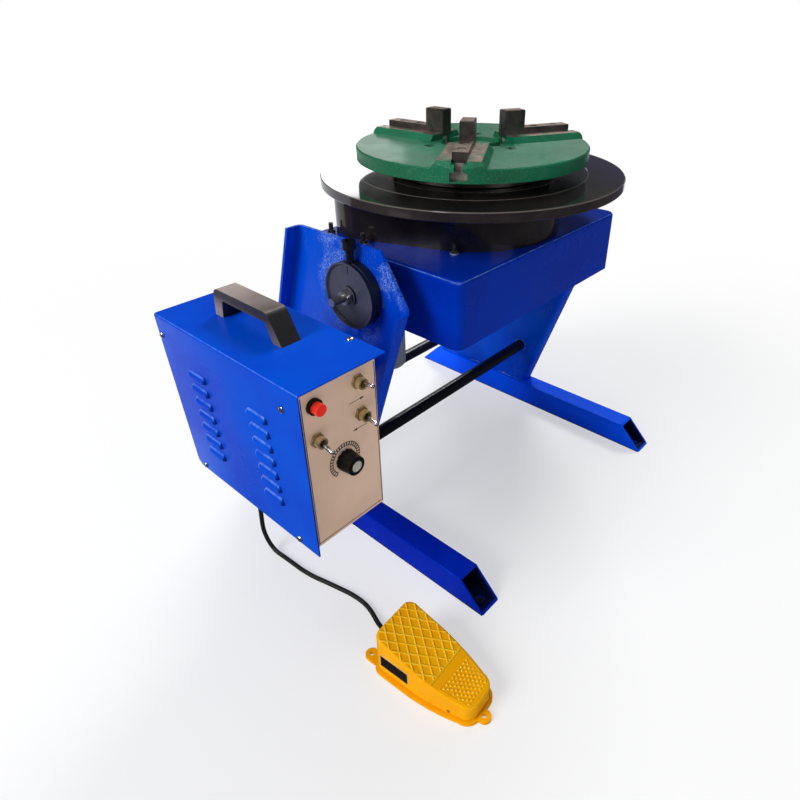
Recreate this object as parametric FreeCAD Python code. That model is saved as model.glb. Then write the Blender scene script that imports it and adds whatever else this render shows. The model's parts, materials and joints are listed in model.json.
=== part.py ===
import FreeCAD, Part
import math
import os

# A welding positioner: a tilting turntable with a three-jaw self-centring chuck, a control box and a foot pedal.
# Sizes are in millimetres. The origin is on the floor, under the turntable's axis.
# +Z is up, +X runs along the tilt axis, and the operator stands on the -Y side.

V = FreeCAD.Vector
RIGHT = V(1, 0, 0)
LEFT = V(-1, 0, 0)
BACK = V(0, 1, 0)
FRONT = V(0, -1, 0)
UP = V(0, 0, 1)
DOWN = V(0, 0, -1)
ORIGIN = V(0, 0, 0)

# Clearances
running_gap = 0.05
sliding_gap = 0.1
passing_gap = 0.4
cut_beyond = 20.0

# Feet: rectangular tubes along Y with mitred ends
foot_width = 35.0
foot_height = 40.0
foot_wall = 3.0
foot_edge_radius = 2.5
foot_front_y = -226.0
foot_rear_y = 284.0
anchor_hole_radius = 6.0
anchor_y = 208.6

# Side plates: folded sheet standing on the feet
plate_inner_x = 213.0
plate_set_in = 8.0
plate_thickness = 4.0
flange_reach = 23.0
bend_radius = 8.0
plate_front_foot_y = 26.0
plate_rear_foot_y = 240.0
plate_shoulder_y = -88.0
plate_shoulder_z = 375.0
plate_top_z = 441.0
plate_top_front_y = -45.5
plate_top_rear_y = 101.0

# Cross bars between the side plates
bar_radius = 10.0
front_bar_y = 39.0
rear_bar_y = 171.0
bar_height = 118.0

# Tilt axis and trunnions
tilt_y = -5.0
tilt_z = 381.0
journal_radius = 12.0
bush_wall = 5.0
bush_flange_radius = 24.0
bush_flange_thickness = 3.0
bush_end_reach = 1.5
trunnion_flange_radius = 30.0
trunnion_flange_thickness = 6.0
trunnion_shoulder_radius = 17.0
stud_radius = 5.0
stud_reach = 25.0

# Clamp wheel on the left trunnion
wheel_radius = 41.0
wheel_thickness = 15.0
wheel_face_rim = 3.5
wheel_groove_width = 2.0
wheel_groove_depth = 4.0
wheel_dish = 2.5
wheel_boss_radius = 12.0
washer_radius = 27.0
nut_across = 17.0
nut_height = 8.0
lever_radius = 5.0
lever_head_radius = 8.0
lever_head_height = 10.0
lever_reach = 15.0
lever_sunk = 14.0

# Tilting tray, open below
tray_length = 360.0
tray_width = 260.0
tray_depth = 86.0
tray_wall = 4.0
tray_corner_radius = 12.0
tray_edge_radius = 5.0
tray_top_above_axis = 33.0

# Bolts that stand on the tray beside the gear housing
tray_bolt_radius = 3.0
tray_bolt_reach = 14.0
tray_nut_across = 10.0
tray_nut_height = 5.0
tray_bolt_places = ((-112.0, -65.0), (-161.0, 45.0), (-160.0, 108.0), (112.0, -65.0), (60.0, 116.0))

# Gear housing: a pear outline round the ring gear and the pinion
housing_big_radius = 122.0
housing_small_radius = 60.0
housing_wall = 3.0
housing_height = 58.0
housing_mouth_gap = 6.0

# Gear pair
gear_module = 2.5
ring_teeth = 80
pinion_teeth = 20
pinion_bearing = 140.5
gear_height = 16.0
gear_above_tray = 38.0
tooth_backlash = 1.0
tooth_addendum = 0.85
tooth_dedendum = 1.25
pressure_slope = 0.364

# Spindle and its bearings
spindle_radius = 25.0
spindle_bore_radius = 14.0
spindle_flange_radius = 60.0
spindle_shoulder_radius = 29.0
spindle_tail = 24.0
bearing_radius = 40.0
bearing_height = 16.0
bearing_housing_wall = 8.0
bearing_flange_radius = 66.0
bearing_flange_thickness = 10.0
bearing_housing_above = 34.0
bearing_housing_below = 12.0
bearing_lip = 4.0

# Gearbox and motor, hanging below the tray at the pinion
gearbox_side = 80.0
gearbox_height = 70.0
gearbox_corner_radius = 10.0
pinion_shaft_radius = 10.0
pinion_shaft_depth = 30.0
pinion_hole_radius = 16.0
motor_radius = 28.0
motor_length = 142.0
motor_edge_radius = 6.0

# Turntable
table_radius = 200.0
table_thickness = 12.0
table_edge = 1.0
table_lift = 2.4
table_rings = (153.0, 120.0)
ring_groove_width = 0.8
ring_groove_depth = 0.5

# Chuck body
chuck_radius = 151.6
chuck_thickness = 16.2
chuck_lift = 17.6
chuck_hub_radius = 72.0
chuck_bore_radius = 22.0
chuck_recess_radius = 41.0
chuck_recess_depth = 5.0
chuck_edge = 1.5
way_height = 7.6
way_half_width = 25.4
way_foot_half_width = 32.0
way_inner_radius = 45.0
way_outer_radius = 146.5
first_way_angle = 92.8
slot_floor = 1.5
slot_head_height = 10.0
slot_head_half_width = 10.2
slot_neck_half_width = 5.1
jaw_seat_depth = 3.8
chuck_screw_circle = 60.0
chuck_screw_radius = 4.0
chuck_screw_head_radius = 6.5
chuck_screw_head_height = 8.0

# Scroll ring under the chuck body
scroll_radius = 105.0
scroll_bar_hole_radius = 5.0
scroll_bar_hole_depth = 18.0
scroll_bar_holes = 6

# Jaws and their sliders
jaw_half_width = 9.0
jaw_inner_radius = 42.4
jaw_block_length = 28.6
jaw_block_top = 29.7
jaw_tail_radius = 138.6
jaw_tail_top = 7.9
jaw_edge = 1.0
slider_inner_radius = 46.0
slider_outer_radius = 142.0
jaw_screw_radius = 3.0
jaw_screw_head_radius = 5.0
jaw_screw_head_height = 6.0
jaw_screw_places = (89.0, 119.0)

# Control box: folded cover over a folded chassis
box_sheet = 1.5
box_left_x = -418.0
box_top_z = 393.7
box_front_y = -150.0
box_rear_top_y = 96.0
box_rear_slope = 0.1107
box_side_height = 192.2
box_wall_x = -325.0
cover_overhang = 11.0
cover_bend_radius = 3.0
cover_corner_clip = 6.0
panel_thickness = 1.0
panel_set_back = 4.0
panel_bottom_lift = 8.5
panel_left_margin = 4.0
panel_top_margin = 4.7

# Louvres in the cover's side, two columns
louvre_length = 33.0
louvre_height = 7.0
louvre_reach = 3.5
louvre_lip = 1.0
louvre_pitch = 16.2
louvre_count = 7
louvre_top_z = 339.0
louvre_column_lean = -1.0
louvre_column_starts = (10.0, -96.0)

# Carrying handle
handle_left_x = -375.0
handle_width = 23.0
handle_height = 31.3
handle_rear_y = 44.0
handle_front_y = -71.0
handle_rear_lean = 4.0
handle_front_lean = 18.0
handle_leg = 14.0
handle_grip = 11.0
handle_corner_radius = 9.0

# Cover screws
cover_screw_radius = 2.0
cover_screw_head_radius = 3.6
cover_screw_head_height = 1.6
cover_screw_length = 7.0
upper_screw_drops = ((88.0, 23.7), (-124.0, 24.7))
lower_screw_lifts = ((59.0, 5.0), (-119.5, 5.0))
top_screw_ys = (-106.0, 70.0)
tab_half_height = 10.0
tab_margin = 8.0

# Switches, lamp and speed control on the panel
switch_radius = 5.8
switch_reach = 9.0
switch_nut_across = 14.0
switch_nut_height = 2.2
switch_case_width = 14.0
switch_case_height = 27.0
switch_case_depth = 20.0
switch_mouth_radius = 4.4
switch_pivot_reach = 4.0
toggle_length = 17.0
toggle_root_radius = 1.7
toggle_tip_radius = 2.4
toggle_ball_radius = 3.0
toggle_tilt = 10.5
switch_places = {"foot": (-400.5, 336.4), "direction": (-346.4, 337.8), "power": (-348.0, 375.0)}
switch_lean = {"foot": -1.0, "direction": -1.0, "power": 1.0}
lamp_x = -400.0
lamp_z = 373.6
lamp_bezel_radius = 8.0
lamp_bezel_reach = 4.0
lamp_lens_radius = 6.6
lamp_lens_reach = 12.0
lamp_body_depth = 18.0
speed_x = -371.0
speed_z = 296.3
speed_case_radius = 12.0
speed_case_depth = 12.0
speed_shaft_radius = 3.0
speed_bush_radius = 4.7
speed_bush_reach = 6.0
knob_radius = 11.5
knob_nose_radius = 10.0
knob_length = 16.0
knob_cap_radius = 7.0
knob_flutes = 12
knob_flute_radius = 1.2

# Arms that carry the box on the left side plate
arm_side = 20.0
arm_z = 270.0
arm_ys = (0.0, 60.0)
arm_bolt_radius = 4.0
arm_bolt_length = 16.0
arm_bolt_across = 13.0
arm_bolt_head = 5.5

# Electrics inside the box
board_thickness = 2.0
board_front_y = -120.0
board_length = 90.0
board_height = 110.0
board_lift = 20.0
board_stand_off = 8.0
post_radius = 3.0
post_inset = 8.0
transformer_size = 56.0
transformer_front_y = -70.0
transformer_depth = 45.0
transformer_height = 50.0
coil_overhang = 10.0
coil_inset = 9.0

# Cord from the box to the pedal
cord_radius = 3.0
gland_radius = 8.0
gland_reach = 16.0
gland_tip_radius = 5.0
cord_route = (
    (-369.0, 46.0),
    (-369.0, 46.0, 166.0),
    (-366.0, 50.0, 126.0),
    (-361.5, 60.5, 88.0),
    (-357.5, 71.0, 58.0),
    (-353.5, 78.5, 34.0),
    (-351.0, 75.0, 13.0),
    (-350.0, 62.0, 3.2),
    (-348.5, 45.0, 3.0),
    (-347.4, 27.0, 3.0),
    (-346.6, 8.0, 3.0),
    (-343.8, -13.0, 3.0),
    (-338.5, -33.0, 3.0),
    (-333.5, -54.0, 3.0),
    (-328.5, -76.0, 3.0),
    (-326.8, -98.0, 3.0),
    (-330.0, -116.0, 3.0),
    (-337.0, -133.5, 4.5),
    (-341.6, -150.0, 9.0),
)

# Foot pedal, built with its rear edge at y = 0 and its toe towards -Y, then turned and set on the floor
pedal_x = -347.0
pedal_y = -171.0
pedal_turn = 4.3
pedal_length = 131.0
pedal_half_width = 33.4
pedal_toe_half_width = 24.0
pedal_rear_height = 60.7
pedal_border_along = 82.0
pedal_border_height = 36.6
pedal_toe_height = 25.0
pedal_corner_radius = 12.0
pedal_toe_radius = 14.0
pedal_wall = 2.5
pedal_rim = 3.7
pedal_floor = 3.5
pedal_plinth_height = 16.0
pedal_skirt_rear_z = 9.5
pedal_skirt_toe_z = 5.0
pedal_top_edge_radius = 3.0
pedal_pin_along = 104.0
pedal_pin_z = 10.0
pedal_pin_radius = 2.0
pedal_ear_radius = 8.0
pedal_ear_hole_radius = 2.5
pedal_ear_thickness = 4.0
rear_ear_across = 23.0
rear_ear_reach = 13.0
toe_ear_across = -5.0
toe_ear_reach = 6.0
grommet_radius = 4.5
grommet_reach = 4.5
grommet_across = 7.0
grommet_z = 9.0
treadle_travel_room = 6.5
spring_along = 22.0
spring_radius = 5.0
spring_wire = 0.8
spring_turns = 6
spring_seat_height = 34.0
micro_along = 50.0
micro_length = 28.0
micro_width = 12.0
micro_height = 16.0
plunger_radius = 2.0
plunger_reach = 4.0
plunger_free_travel = 3.0
tread_boss_radius = 4.0

# Heights that follow from the sizes above
tray_top_z = tilt_z + tray_top_above_axis
housing_top_z = tray_top_z + housing_height
table_bottom_z = housing_top_z + table_lift
table_top_z = table_bottom_z + table_thickness
chuck_bottom_z = table_top_z + chuck_lift
chuck_top_z = chuck_bottom_z + chuck_thickness
way_top_z = chuck_top_z + way_height
jaw_seat_z = way_top_z - jaw_seat_depth
slot_floor_z = chuck_bottom_z + slot_floor
slot_head_z = slot_floor_z + slot_head_height
gear_bottom_z = tray_top_z + gear_above_tray
gear_top_z = gear_bottom_z + gear_height
gear_distance = gear_module * (ring_teeth + pinion_teeth) / 2
pinion_x = gear_distance * math.cos(math.radians(pinion_bearing))
pinion_y = gear_distance * math.sin(math.radians(pinion_bearing))
way_angles = tuple(first_way_angle + 120.0 * k for k in range(3))
plate_outer_x = plate_inner_x + plate_thickness
bush_outer_radius = journal_radius + running_gap + bush_wall
bush_inner_x = plate_inner_x - bush_flange_thickness
bush_end_x = plate_outer_x + bush_end_reach
wheel_back_x = bush_end_x + 2 * passing_gap + sliding_gap
wheel_face_x = wheel_back_x + wheel_thickness
nut_x = wheel_face_x + passing_gap
stud_end_x = wheel_face_x + stud_reach
box_inner_x = box_left_x + box_sheet
box_under_top_z = box_top_z - box_sheet
panel_front_y = box_front_y + panel_set_back
panel_left_x = box_left_x + panel_left_margin
panel_bottom_z = box_top_z - box_side_height + panel_bottom_lift
panel_top_z = box_top_z - panel_top_margin
upper_side_screws = [(y, box_top_z - drop) for y, drop in upper_screw_drops]
lower_side_screws = [(y, box_top_z - box_side_height + lift) for y, lift in lower_screw_lifts]
chassis_front_y = panel_front_y + panel_thickness
chassis_inside_y = chassis_front_y + box_sheet


def box(x0, x1, y0, y1, z0, z1):
    return Part.makeBox(x1 - x0, y1 - y0, z1 - z0, V(x0, y0, z0))


def rod(start, direction, radius, length):
    return Part.makeCylinder(radius, length, start, direction)


def pipe(start, direction, outer, inner, length):
    hole = rod(start - direction, direction, inner, length + 2)
    return rod(start, direction, outer, length).cut(hole)


def prism(points, sweep):
    """A straight solid: the outline through the points, pushed along the sweep."""
    outline = Part.makePolygon(list(points) + [points[0]])
    return Part.Face(outline).extrude(sweep)


def join(first, *others):
    return first.multiFuse(list(others)).removeSplitter()


def polar(radius, degrees, z=0.0):
    angle = math.radians(degrees)
    return V(radius * math.cos(angle), radius * math.sin(angle), z)


def aimed(shape, place, direction):
    """Moves a shape that was made along +Z to a place, pointing in a direction."""
    moved = shape.copy()
    moved.Placement = FreeCAD.Placement(place, FreeCAD.Rotation(UP, direction))
    return moved


def spun(shape, degrees):
    return shape.rotated(ORIGIN, UP, degrees)


def mirrored(shape):
    return shape.mirror(ORIGIN, RIGHT)


def hexagon(across, height):
    corner = across / math.sqrt(3)
    return prism([polar(corner, 60 * k) for k in range(6)], UP * height)


def nut(place, direction, across, height, bore):
    body = hexagon(across, height).cut(rod(DOWN, UP, bore, height + 2))
    crown = Part.makeCone(across * 0.62, across * 0.5, height, ORIGIN, UP)
    return aimed(body.common(crown), place, direction)


def cap_screw(seat, direction, radius, length, head_radius, head_height):
    """A socket-head screw: the head stands on the seat, the shank runs the other way."""
    head = rod(ORIGIN, UP, head_radius, head_height)
    socket = hexagon(head_radius, head_height).translated(UP * head_height / 2)
    shank = rod(DOWN * length, UP, radius, length)
    return aimed(join(head.cut(socket), shank), seat, direction)


def hex_screw(seat, direction, radius, length, across, head_height):
    head = hexagon(across, head_height)
    shank = rod(DOWN * length, UP, radius, length)
    return aimed(join(head, shank), seat, direction)


def edges_through(shape, points):
    """The edges that pass through any of the points."""
    corners = [Part.Vertex(p) for p in points]
    return [e for e in shape.Edges if any(e.distToShape(c)[0] < 0.01 for c in corners)]


def upright_edges(shape):
    return [e for e in shape.Edges if abs(e.tangentAt(e.FirstParameter).z) > 0.99 and len(e.Vertexes) == 2]


def edges_at_height(shape, z):
    return [e for e in shape.Edges if abs(e.BoundBox.ZMin - z) < 0.01 and abs(e.BoundBox.ZMax - z) < 0.01]


def rounded_block(block, upright_radius, top_radius):
    rounded = block.makeFillet(upright_radius, upright_edges(block))
    return rounded.makeFillet(top_radius, edges_at_height(rounded, block.BoundBox.ZMax))


def save(node, *solids):
    shape = solids[0] if len(solids) == 1 else Part.makeCompound(list(solids))
    shape.exportStep("parts/" + node + ".step")


# Floor frame
def foot_profile(x, inset, overrun):
    """The mitred side outline of a foot, smaller by the inset and longer by the overrun."""
    low = inset
    high = foot_height - inset
    front = foot_front_y - overrun
    rear = foot_rear_y + overrun
    return [V(x, front + low, low), V(x, rear - low, low), V(x, rear - high, high), V(x, front + high, high)]


def foot():
    x0 = plate_inner_x - plate_set_in
    outer = prism(foot_profile(x0, 0, 0), RIGHT * foot_width)
    middle_y = (foot_front_y + foot_rear_y) / 2
    corners = [V(x, middle_y, z) for x in (x0, x0 + foot_width) for z in (0, foot_height)]
    outer = outer.makeFillet(foot_edge_radius, edges_through(outer, corners))
    hollow = prism(foot_profile(x0 + foot_wall, foot_wall, 10), RIGHT * (foot_width - 2 * foot_wall))
    tube = outer.cut(hollow)
    centre_x = x0 + foot_width / 2
    for y in (-anchor_y, anchor_y):
        tube = tube.cut(rod(V(centre_x, y, -1), UP, anchor_hole_radius, foot_wall + 2))
    return tube


def side_plate():
    """A plate with a flange folded outward along its front and its rear edge."""
    foot_front = V(plate_inner_x, plate_front_foot_y, foot_height)
    shoulder = V(plate_inner_x, plate_shoulder_y, plate_shoulder_z)
    top_front = V(plate_inner_x, plate_top_front_y, plate_top_z)
    top_rear = V(plate_inner_x, plate_top_rear_y, plate_top_z)
    foot_rear = V(plate_inner_x, plate_rear_foot_y, foot_height)
    block = prism([foot_front, shoulder, top_front, top_rear, foot_rear], RIGHT * flange_reach)

    up_front = (shoulder - foot_front).normalize()
    up_rear = (top_rear - foot_rear).normalize()
    front_in = V(0, up_front.z, -up_front.y) * plate_thickness
    rear_in = V(0, -up_rear.z, up_rear.y) * plate_thickness
    beyond = 30.0
    lift = RIGHT * plate_thickness
    pocket_outline = [
        foot_front + front_in - up_front * beyond + lift,
        shoulder + front_in + lift,
        V(plate_inner_x, shoulder.y - beyond, (shoulder + front_in).z) + lift,
        V(plate_inner_x, shoulder.y - beyond, plate_top_z + beyond) + lift,
        top_rear + rear_in + up_rear * beyond * 2 + lift,
        foot_rear + rear_in - up_rear * beyond + lift,
    ]
    folded = block.cut(prism(pocket_outline, RIGHT * flange_reach))

    outside_bends = [(foot_front + shoulder) / 2, (top_rear + foot_rear) / 2]
    inside_bends = [p + q + lift for p, q in zip(outside_bends, (front_in, rear_in))]
    folded = folded.makeFillet(bend_radius - plate_thickness, edges_through(folded, inside_bends))
    folded = folded.makeFillet(bend_radius, edges_through(folded, outside_bends))
    bush_hole = rod(V(plate_inner_x - 1, tilt_y, tilt_z), RIGHT, bush_outer_radius, plate_thickness + 2)
    return folded.cut(bush_hole)


def cross_bar(y):
    return rod(V(-plate_inner_x, y, bar_height), RIGHT, bar_radius, 2 * plate_inner_x)


def trunnion_bush():
    start = V(bush_inner_x, tilt_y, tilt_z)
    flange = rod(start, RIGHT, bush_flange_radius, bush_flange_thickness)
    sleeve = rod(start, RIGHT, bush_outer_radius, bush_end_x - bush_inner_x)
    bore = rod(start - RIGHT, RIGHT, journal_radius + running_gap, bush_end_x - bush_inner_x + 2)
    return join(flange, sleeve).cut(bore)


def friction_washer():
    """Lies on the left plate round the bush, under the clamp wheel."""
    start = V(-plate_outer_x, tilt_y, tilt_z)
    return pipe(start, LEFT, washer_radius, bush_outer_radius + sliding_gap, bush_end_reach + passing_gap)


# Tilting head
def trunnion_core():
    """Flange on the tray's wall, shoulder and journal, on the right side."""
    wall_x = tray_length / 2
    start = V(wall_x, tilt_y, tilt_z)
    flange = rod(start, RIGHT, trunnion_flange_radius, trunnion_flange_thickness)
    shoulder = rod(start, RIGHT, trunnion_shoulder_radius, bush_inner_x - passing_gap - wall_x)
    journal = rod(start, RIGHT, journal_radius, bush_end_x - wall_x)
    return join(flange, shoulder, journal)


def trunnion_left():
    """The left trunnion ends in a threaded stud that carries the clamp wheel."""
    stud = rod(V(-bush_end_x + 5, tilt_y, tilt_z), LEFT, stud_radius, stud_end_x - bush_end_x + 5)
    return join(mirrored(trunnion_core()), stud)


def trunnion_right():
    """The right trunnion is held by a collar outside the plate."""
    journal_end = V(bush_end_x - 1, tilt_y, tilt_z)
    tip = rod(journal_end, RIGHT, journal_radius, 8)
    collar = pipe(V(bush_end_x + passing_gap, tilt_y, tilt_z), RIGHT, bush_flange_radius, journal_radius, 6)
    return join(trunnion_core(), tip, collar)


def wheel_nut():
    return nut(V(-nut_x, tilt_y, tilt_z), LEFT, nut_across, nut_height, stud_radius)


def clamp_wheel():
    """A turned disc with a groove behind its front rim and a dished face round a boss."""
    bore = stud_radius + running_gap
    groove_x = wheel_face_x - wheel_face_rim
    dish_x = wheel_face_x - wheel_dish
    section = [
        (wheel_back_x, bore),
        (wheel_back_x, wheel_radius),
        (groove_x - wheel_groove_width, wheel_radius),
        (groove_x - wheel_groove_width, wheel_radius - wheel_groove_depth),
        (groove_x, wheel_radius - wheel_groove_depth),
        (groove_x, wheel_radius),
        (wheel_face_x, wheel_radius),
        (wheel_face_x, wheel_radius - 2),
        (dish_x, wheel_radius - 4),
        (dish_x, wheel_boss_radius),
        (wheel_face_x, wheel_boss_radius),
        (wheel_face_x, bore),
    ]
    outline = [V(-x, tilt_y, tilt_z + r) for x, r in section]
    face = Part.Face(Part.makePolygon(outline + [outline[0]]))
    wheel = face.revolve(V(0, tilt_y, tilt_z), LEFT, 360)
    lever_hole = rod(lever_seat() + DOWN * lever_reach, DOWN, lever_radius + running_gap, lever_sunk)
    return wheel.cut(lever_hole)


def lever_seat():
    middle_x = wheel_back_x + wheel_thickness / 2
    return V(-middle_x, tilt_y, tilt_z + wheel_radius + lever_reach)


def wheel_lever():
    length = lever_reach + lever_sunk
    return cap_screw(lever_seat(), UP, lever_radius, length, lever_head_radius, lever_head_height)


def tray():
    x = tray_length / 2
    y = tray_width / 2
    wall = tray_wall
    block = box(-x, x, -y, y, tray_top_z - tray_depth, tray_top_z)
    outer = rounded_block(block, tray_corner_radius, tray_edge_radius)
    room = box(wall - x, x - wall, wall - y, y - wall, tray_top_z - tray_depth - 1, tray_top_z - wall)
    inner = rounded_block(room, tray_corner_radius - wall, max(tray_edge_radius - wall, 0.5))
    shell = outer.cut(inner)
    spindle_hole_radius = bearing_radius + bearing_housing_wall
    shell = shell.cut(rod(V(0, 0, tray_top_z + 1), DOWN, spindle_hole_radius, wall + 2))
    shell = shell.cut(rod(V(pinion_x, pinion_y, tray_top_z + 1), DOWN, pinion_hole_radius, wall + 2))
    for px, py in tray_bolt_places:
        shell = shell.cut(rod(V(px, py, tray_top_z + 1), DOWN, tray_bolt_radius, wall + 2))
    for place in gearbox_screw_places():
        shell = shell.cut(rod(place + UP, DOWN, tray_bolt_radius, wall + 2))
    return shell


def tray_bolts():
    solids = []
    for x, y in tray_bolt_places:
        head_seat = V(x, y, tray_top_z - tray_wall)
        length = tray_wall + tray_bolt_reach
        solids.append(hex_screw(head_seat, DOWN, tray_bolt_radius, length, tray_nut_across, tray_nut_height))
        solids.append(nut(V(x, y, tray_top_z), UP, tray_nut_across, tray_nut_height, tray_bolt_radius))
    return solids


def pear_face(big, small):
    """Two circles, round the spindle and round the pinion, joined by their outer tangents."""
    opening = math.degrees(math.acos((big - small) / gear_distance))
    centre = V(pinion_x, pinion_y, 0)
    high = pinion_bearing + opening
    low = pinion_bearing - opening
    big_start = polar(big, high)
    big_end = polar(big, low)
    small_start = centre + polar(small, low)
    small_end = centre + polar(small, high)
    edges = [
        Part.Arc(big_start, polar(big, pinion_bearing + 180), big_end).toShape(),
        Part.LineSegment(big_end, small_start).toShape(),
        Part.Arc(small_start, centre + polar(small, pinion_bearing), small_end).toShape(),
        Part.LineSegment(small_end, big_start).toShape(),
    ]
    return Part.Face(Part.Wire(edges))


def gear_housing():
    outer = pear_face(housing_big_radius, housing_small_radius).extrude(UP * housing_height)
    big = housing_big_radius - housing_wall
    small = housing_small_radius - housing_wall
    inner = pear_face(big, small).extrude(UP * (housing_height - housing_wall))
    mouth = rod(ORIGIN, UP, spindle_flange_radius + housing_mouth_gap, housing_height + 1)
    return outer.cut(inner).cut(mouth).translated(UP * tray_top_z)


def gear(teeth, phase):
    """A spur gear of straight-sided teeth about the Z axis, one tooth centred on the phase angle."""
    pitch_radius = gear_module * teeth / 2
    addendum = tooth_addendum * gear_module
    dedendum = tooth_dedendum * gear_module
    half_tooth = (math.pi * gear_module - tooth_backlash) / 4
    tip = pitch_radius + addendum
    root = pitch_radius - dedendum
    tip_half = math.degrees((half_tooth - addendum * pressure_slope) / tip)
    root_half = math.degrees((half_tooth + dedendum * pressure_slope) / root)
    points = []
    for k in range(teeth):
        middle = phase + 360.0 * k / teeth
        points.append(polar(root, middle - root_half, gear_bottom_z))
        points.append(polar(tip, middle - tip_half, gear_bottom_z))
        points.append(polar(tip, middle + tip_half, gear_bottom_z))
        points.append(polar(root, middle + root_half, gear_bottom_z))
    return prism(points, UP * gear_height)


def ring_gear():
    wheel = gear(ring_teeth, pinion_bearing)
    wheel = wheel.cut(rod(V(0, 0, gear_bottom_z - 1), UP, spindle_radius, gear_height + 2))
    for place in gear_screw_places():
        wheel = wheel.cut(rod(place + DOWN, UP, jaw_screw_radius, gear_height + 2))
    return wheel


def pinion():
    """Pinion and its shaft, with a tooth gap turned to the ring gear."""
    toothed = gear(pinion_teeth, pinion_bearing + 180 + 180.0 / pinion_teeth)
    shaft_foot_z = tray_top_z - tray_wall - pinion_shaft_depth
    shaft = rod(V(0, 0, shaft_foot_z), UP, pinion_shaft_radius, gear_bottom_z - shaft_foot_z + gear_height / 2)
    return join(toothed, shaft).translated(V(pinion_x, pinion_y, 0))


def bearing_housing():
    outer_radius = bearing_radius + bearing_housing_wall
    base_z = tray_top_z - bearing_housing_below
    top_z = tray_top_z + bearing_housing_above
    barrel = rod(V(0, 0, base_z), UP, outer_radius, top_z - base_z)
    flange = rod(V(0, 0, tray_top_z), UP, bearing_flange_radius, bearing_flange_thickness)
    bore = rod(V(0, 0, base_z + bearing_lip), UP, bearing_radius, top_z - base_z)
    mouth = rod(V(0, 0, base_z - 1), UP, spindle_shoulder_radius, bearing_lip + 2)
    return join(barrel, flange).cut(bore).cut(mouth)


def spindle_bearings():
    low_z = tray_top_z - bearing_housing_below + bearing_lip
    high_z = tray_top_z + bearing_housing_above - bearing_height
    bore = spindle_radius + running_gap
    return [pipe(V(0, 0, z), UP, bearing_radius, bore, bearing_height) for z in (low_z, high_z)]


def spindle():
    tail_z = tray_top_z - spindle_tail
    shaft = rod(V(0, 0, tail_z), UP, spindle_radius, table_bottom_z - tail_z)
    shoulder_z = tray_top_z + bearing_housing_above
    shoulder = rod(V(0, 0, shoulder_z + sliding_gap), UP, spindle_shoulder_radius, gear_bottom_z - shoulder_z - sliding_gap)
    flange = rod(V(0, 0, gear_top_z), UP, spindle_flange_radius, table_bottom_z - gear_top_z)
    body = join(shaft, shoulder, flange)
    body = body.cut(rod(V(0, 0, tail_z - 1), UP, spindle_bore_radius, table_bottom_z - tail_z + 2))
    for place in gear_screw_places():
        body = body.cut(rod(place, UP, jaw_screw_radius, gear_height + 5))
    for place in table_screw_places():
        body = body.cut(rod(place, DOWN, jaw_screw_radius, table_thickness + 10))
    return body


def gear_screw_places():
    circle = bearing_radius + bearing_housing_wall + jaw_screw_head_radius + passing_gap
    return [polar(circle, 45 + 90 * k, gear_bottom_z) for k in range(4)]


def table_screw_places():
    circle = (spindle_radius + spindle_flange_radius) / 2
    return [polar(circle, 60 * k, table_top_z - jaw_screw_head_height) for k in range(6)]


def spindle_screws():
    """Screws up through the ring gear and down through the table, both into the spindle's flange."""
    size = (jaw_screw_head_radius, jaw_screw_head_height)
    solids = [cap_screw(p, DOWN, jaw_screw_radius, gear_height + 5, *size) for p in gear_screw_places()]
    reach = table_thickness - jaw_screw_head_height + 5
    solids += [cap_screw(p, UP, jaw_screw_radius, reach, *size) for p in table_screw_places()]
    return solids


def gearbox_screw_places():
    half = gearbox_side / 2 - gearbox_corner_radius
    corners = [(half, half), (-half, half), (-half, -half), (half, -half)]
    return [V(pinion_x + dx, pinion_y + dy, tray_top_z) for dx, dy in corners]


def gearbox():
    half = gearbox_side / 2
    top_z = tray_top_z - tray_wall
    block = box(pinion_x - half, pinion_x + half, pinion_y - half, pinion_y + half, top_z - gearbox_height, top_z)
    case = block.makeFillet(gearbox_corner_radius, upright_edges(block))
    case = case.cut(rod(V(pinion_x, pinion_y, top_z + 1), DOWN, pinion_shaft_radius + running_gap, pinion_shaft_depth + 2))
    for place in gearbox_screw_places():
        case = case.cut(rod(place, DOWN, tray_bolt_radius, tray_wall + 12))
    return case


def gearbox_screws():
    places = gearbox_screw_places()
    size = (tray_bolt_radius, tray_wall + 10, jaw_screw_head_radius, jaw_screw_head_height)
    return [cap_screw(p, UP, *size) for p in places]


def motor():
    top_z = tray_top_z - tray_wall - gearbox_height
    can = rod(V(pinion_x, pinion_y, top_z), DOWN, motor_radius, motor_length)
    bottom = edges_at_height(can, top_z - motor_length)
    return can.makeFillet(motor_edge_radius, bottom)


# Turntable and chuck
def turntable():
    disc = rod(V(0, 0, table_bottom_z), UP, table_radius, table_thickness)
    rims = edges_at_height(disc, table_top_z) + edges_at_height(disc, table_bottom_z)
    disc = disc.makeChamfer(table_edge, rims)
    disc = disc.cut(rod(V(0, 0, table_bottom_z - 1), UP, chuck_bore_radius, table_thickness + 2))
    for radius in table_rings:
        start = V(0, 0, table_top_z - ring_groove_depth)
        disc = disc.cut(pipe(start, UP, radius + ring_groove_width, radius, ring_groove_depth + 1))
    for place in table_screw_places():
        disc = disc.cut(rod(place + UP, DOWN, jaw_screw_radius, table_thickness))
        disc = disc.cut(rod(place, UP, jaw_screw_head_radius + sliding_gap, table_thickness))
    for place in chuck_screw_places():
        hole_start = V(place.x, place.y, table_top_z + 1)
        disc = disc.cut(rod(hole_start, DOWN, chuck_screw_radius + running_gap, table_thickness - 1))
    return disc


def chuck_screw_places():
    seat_z = chuck_top_z - chuck_screw_head_height - 1
    return [polar(chuck_screw_circle, angle + 60, seat_z) for angle in way_angles]


def chuck_screws():
    length = chuck_screw_places()[0].z - table_top_z + table_thickness - 2
    size = (chuck_screw_radius, length, chuck_screw_head_radius, chuck_screw_head_height)
    return [cap_screw(p, UP, *size) for p in chuck_screw_places()]


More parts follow.
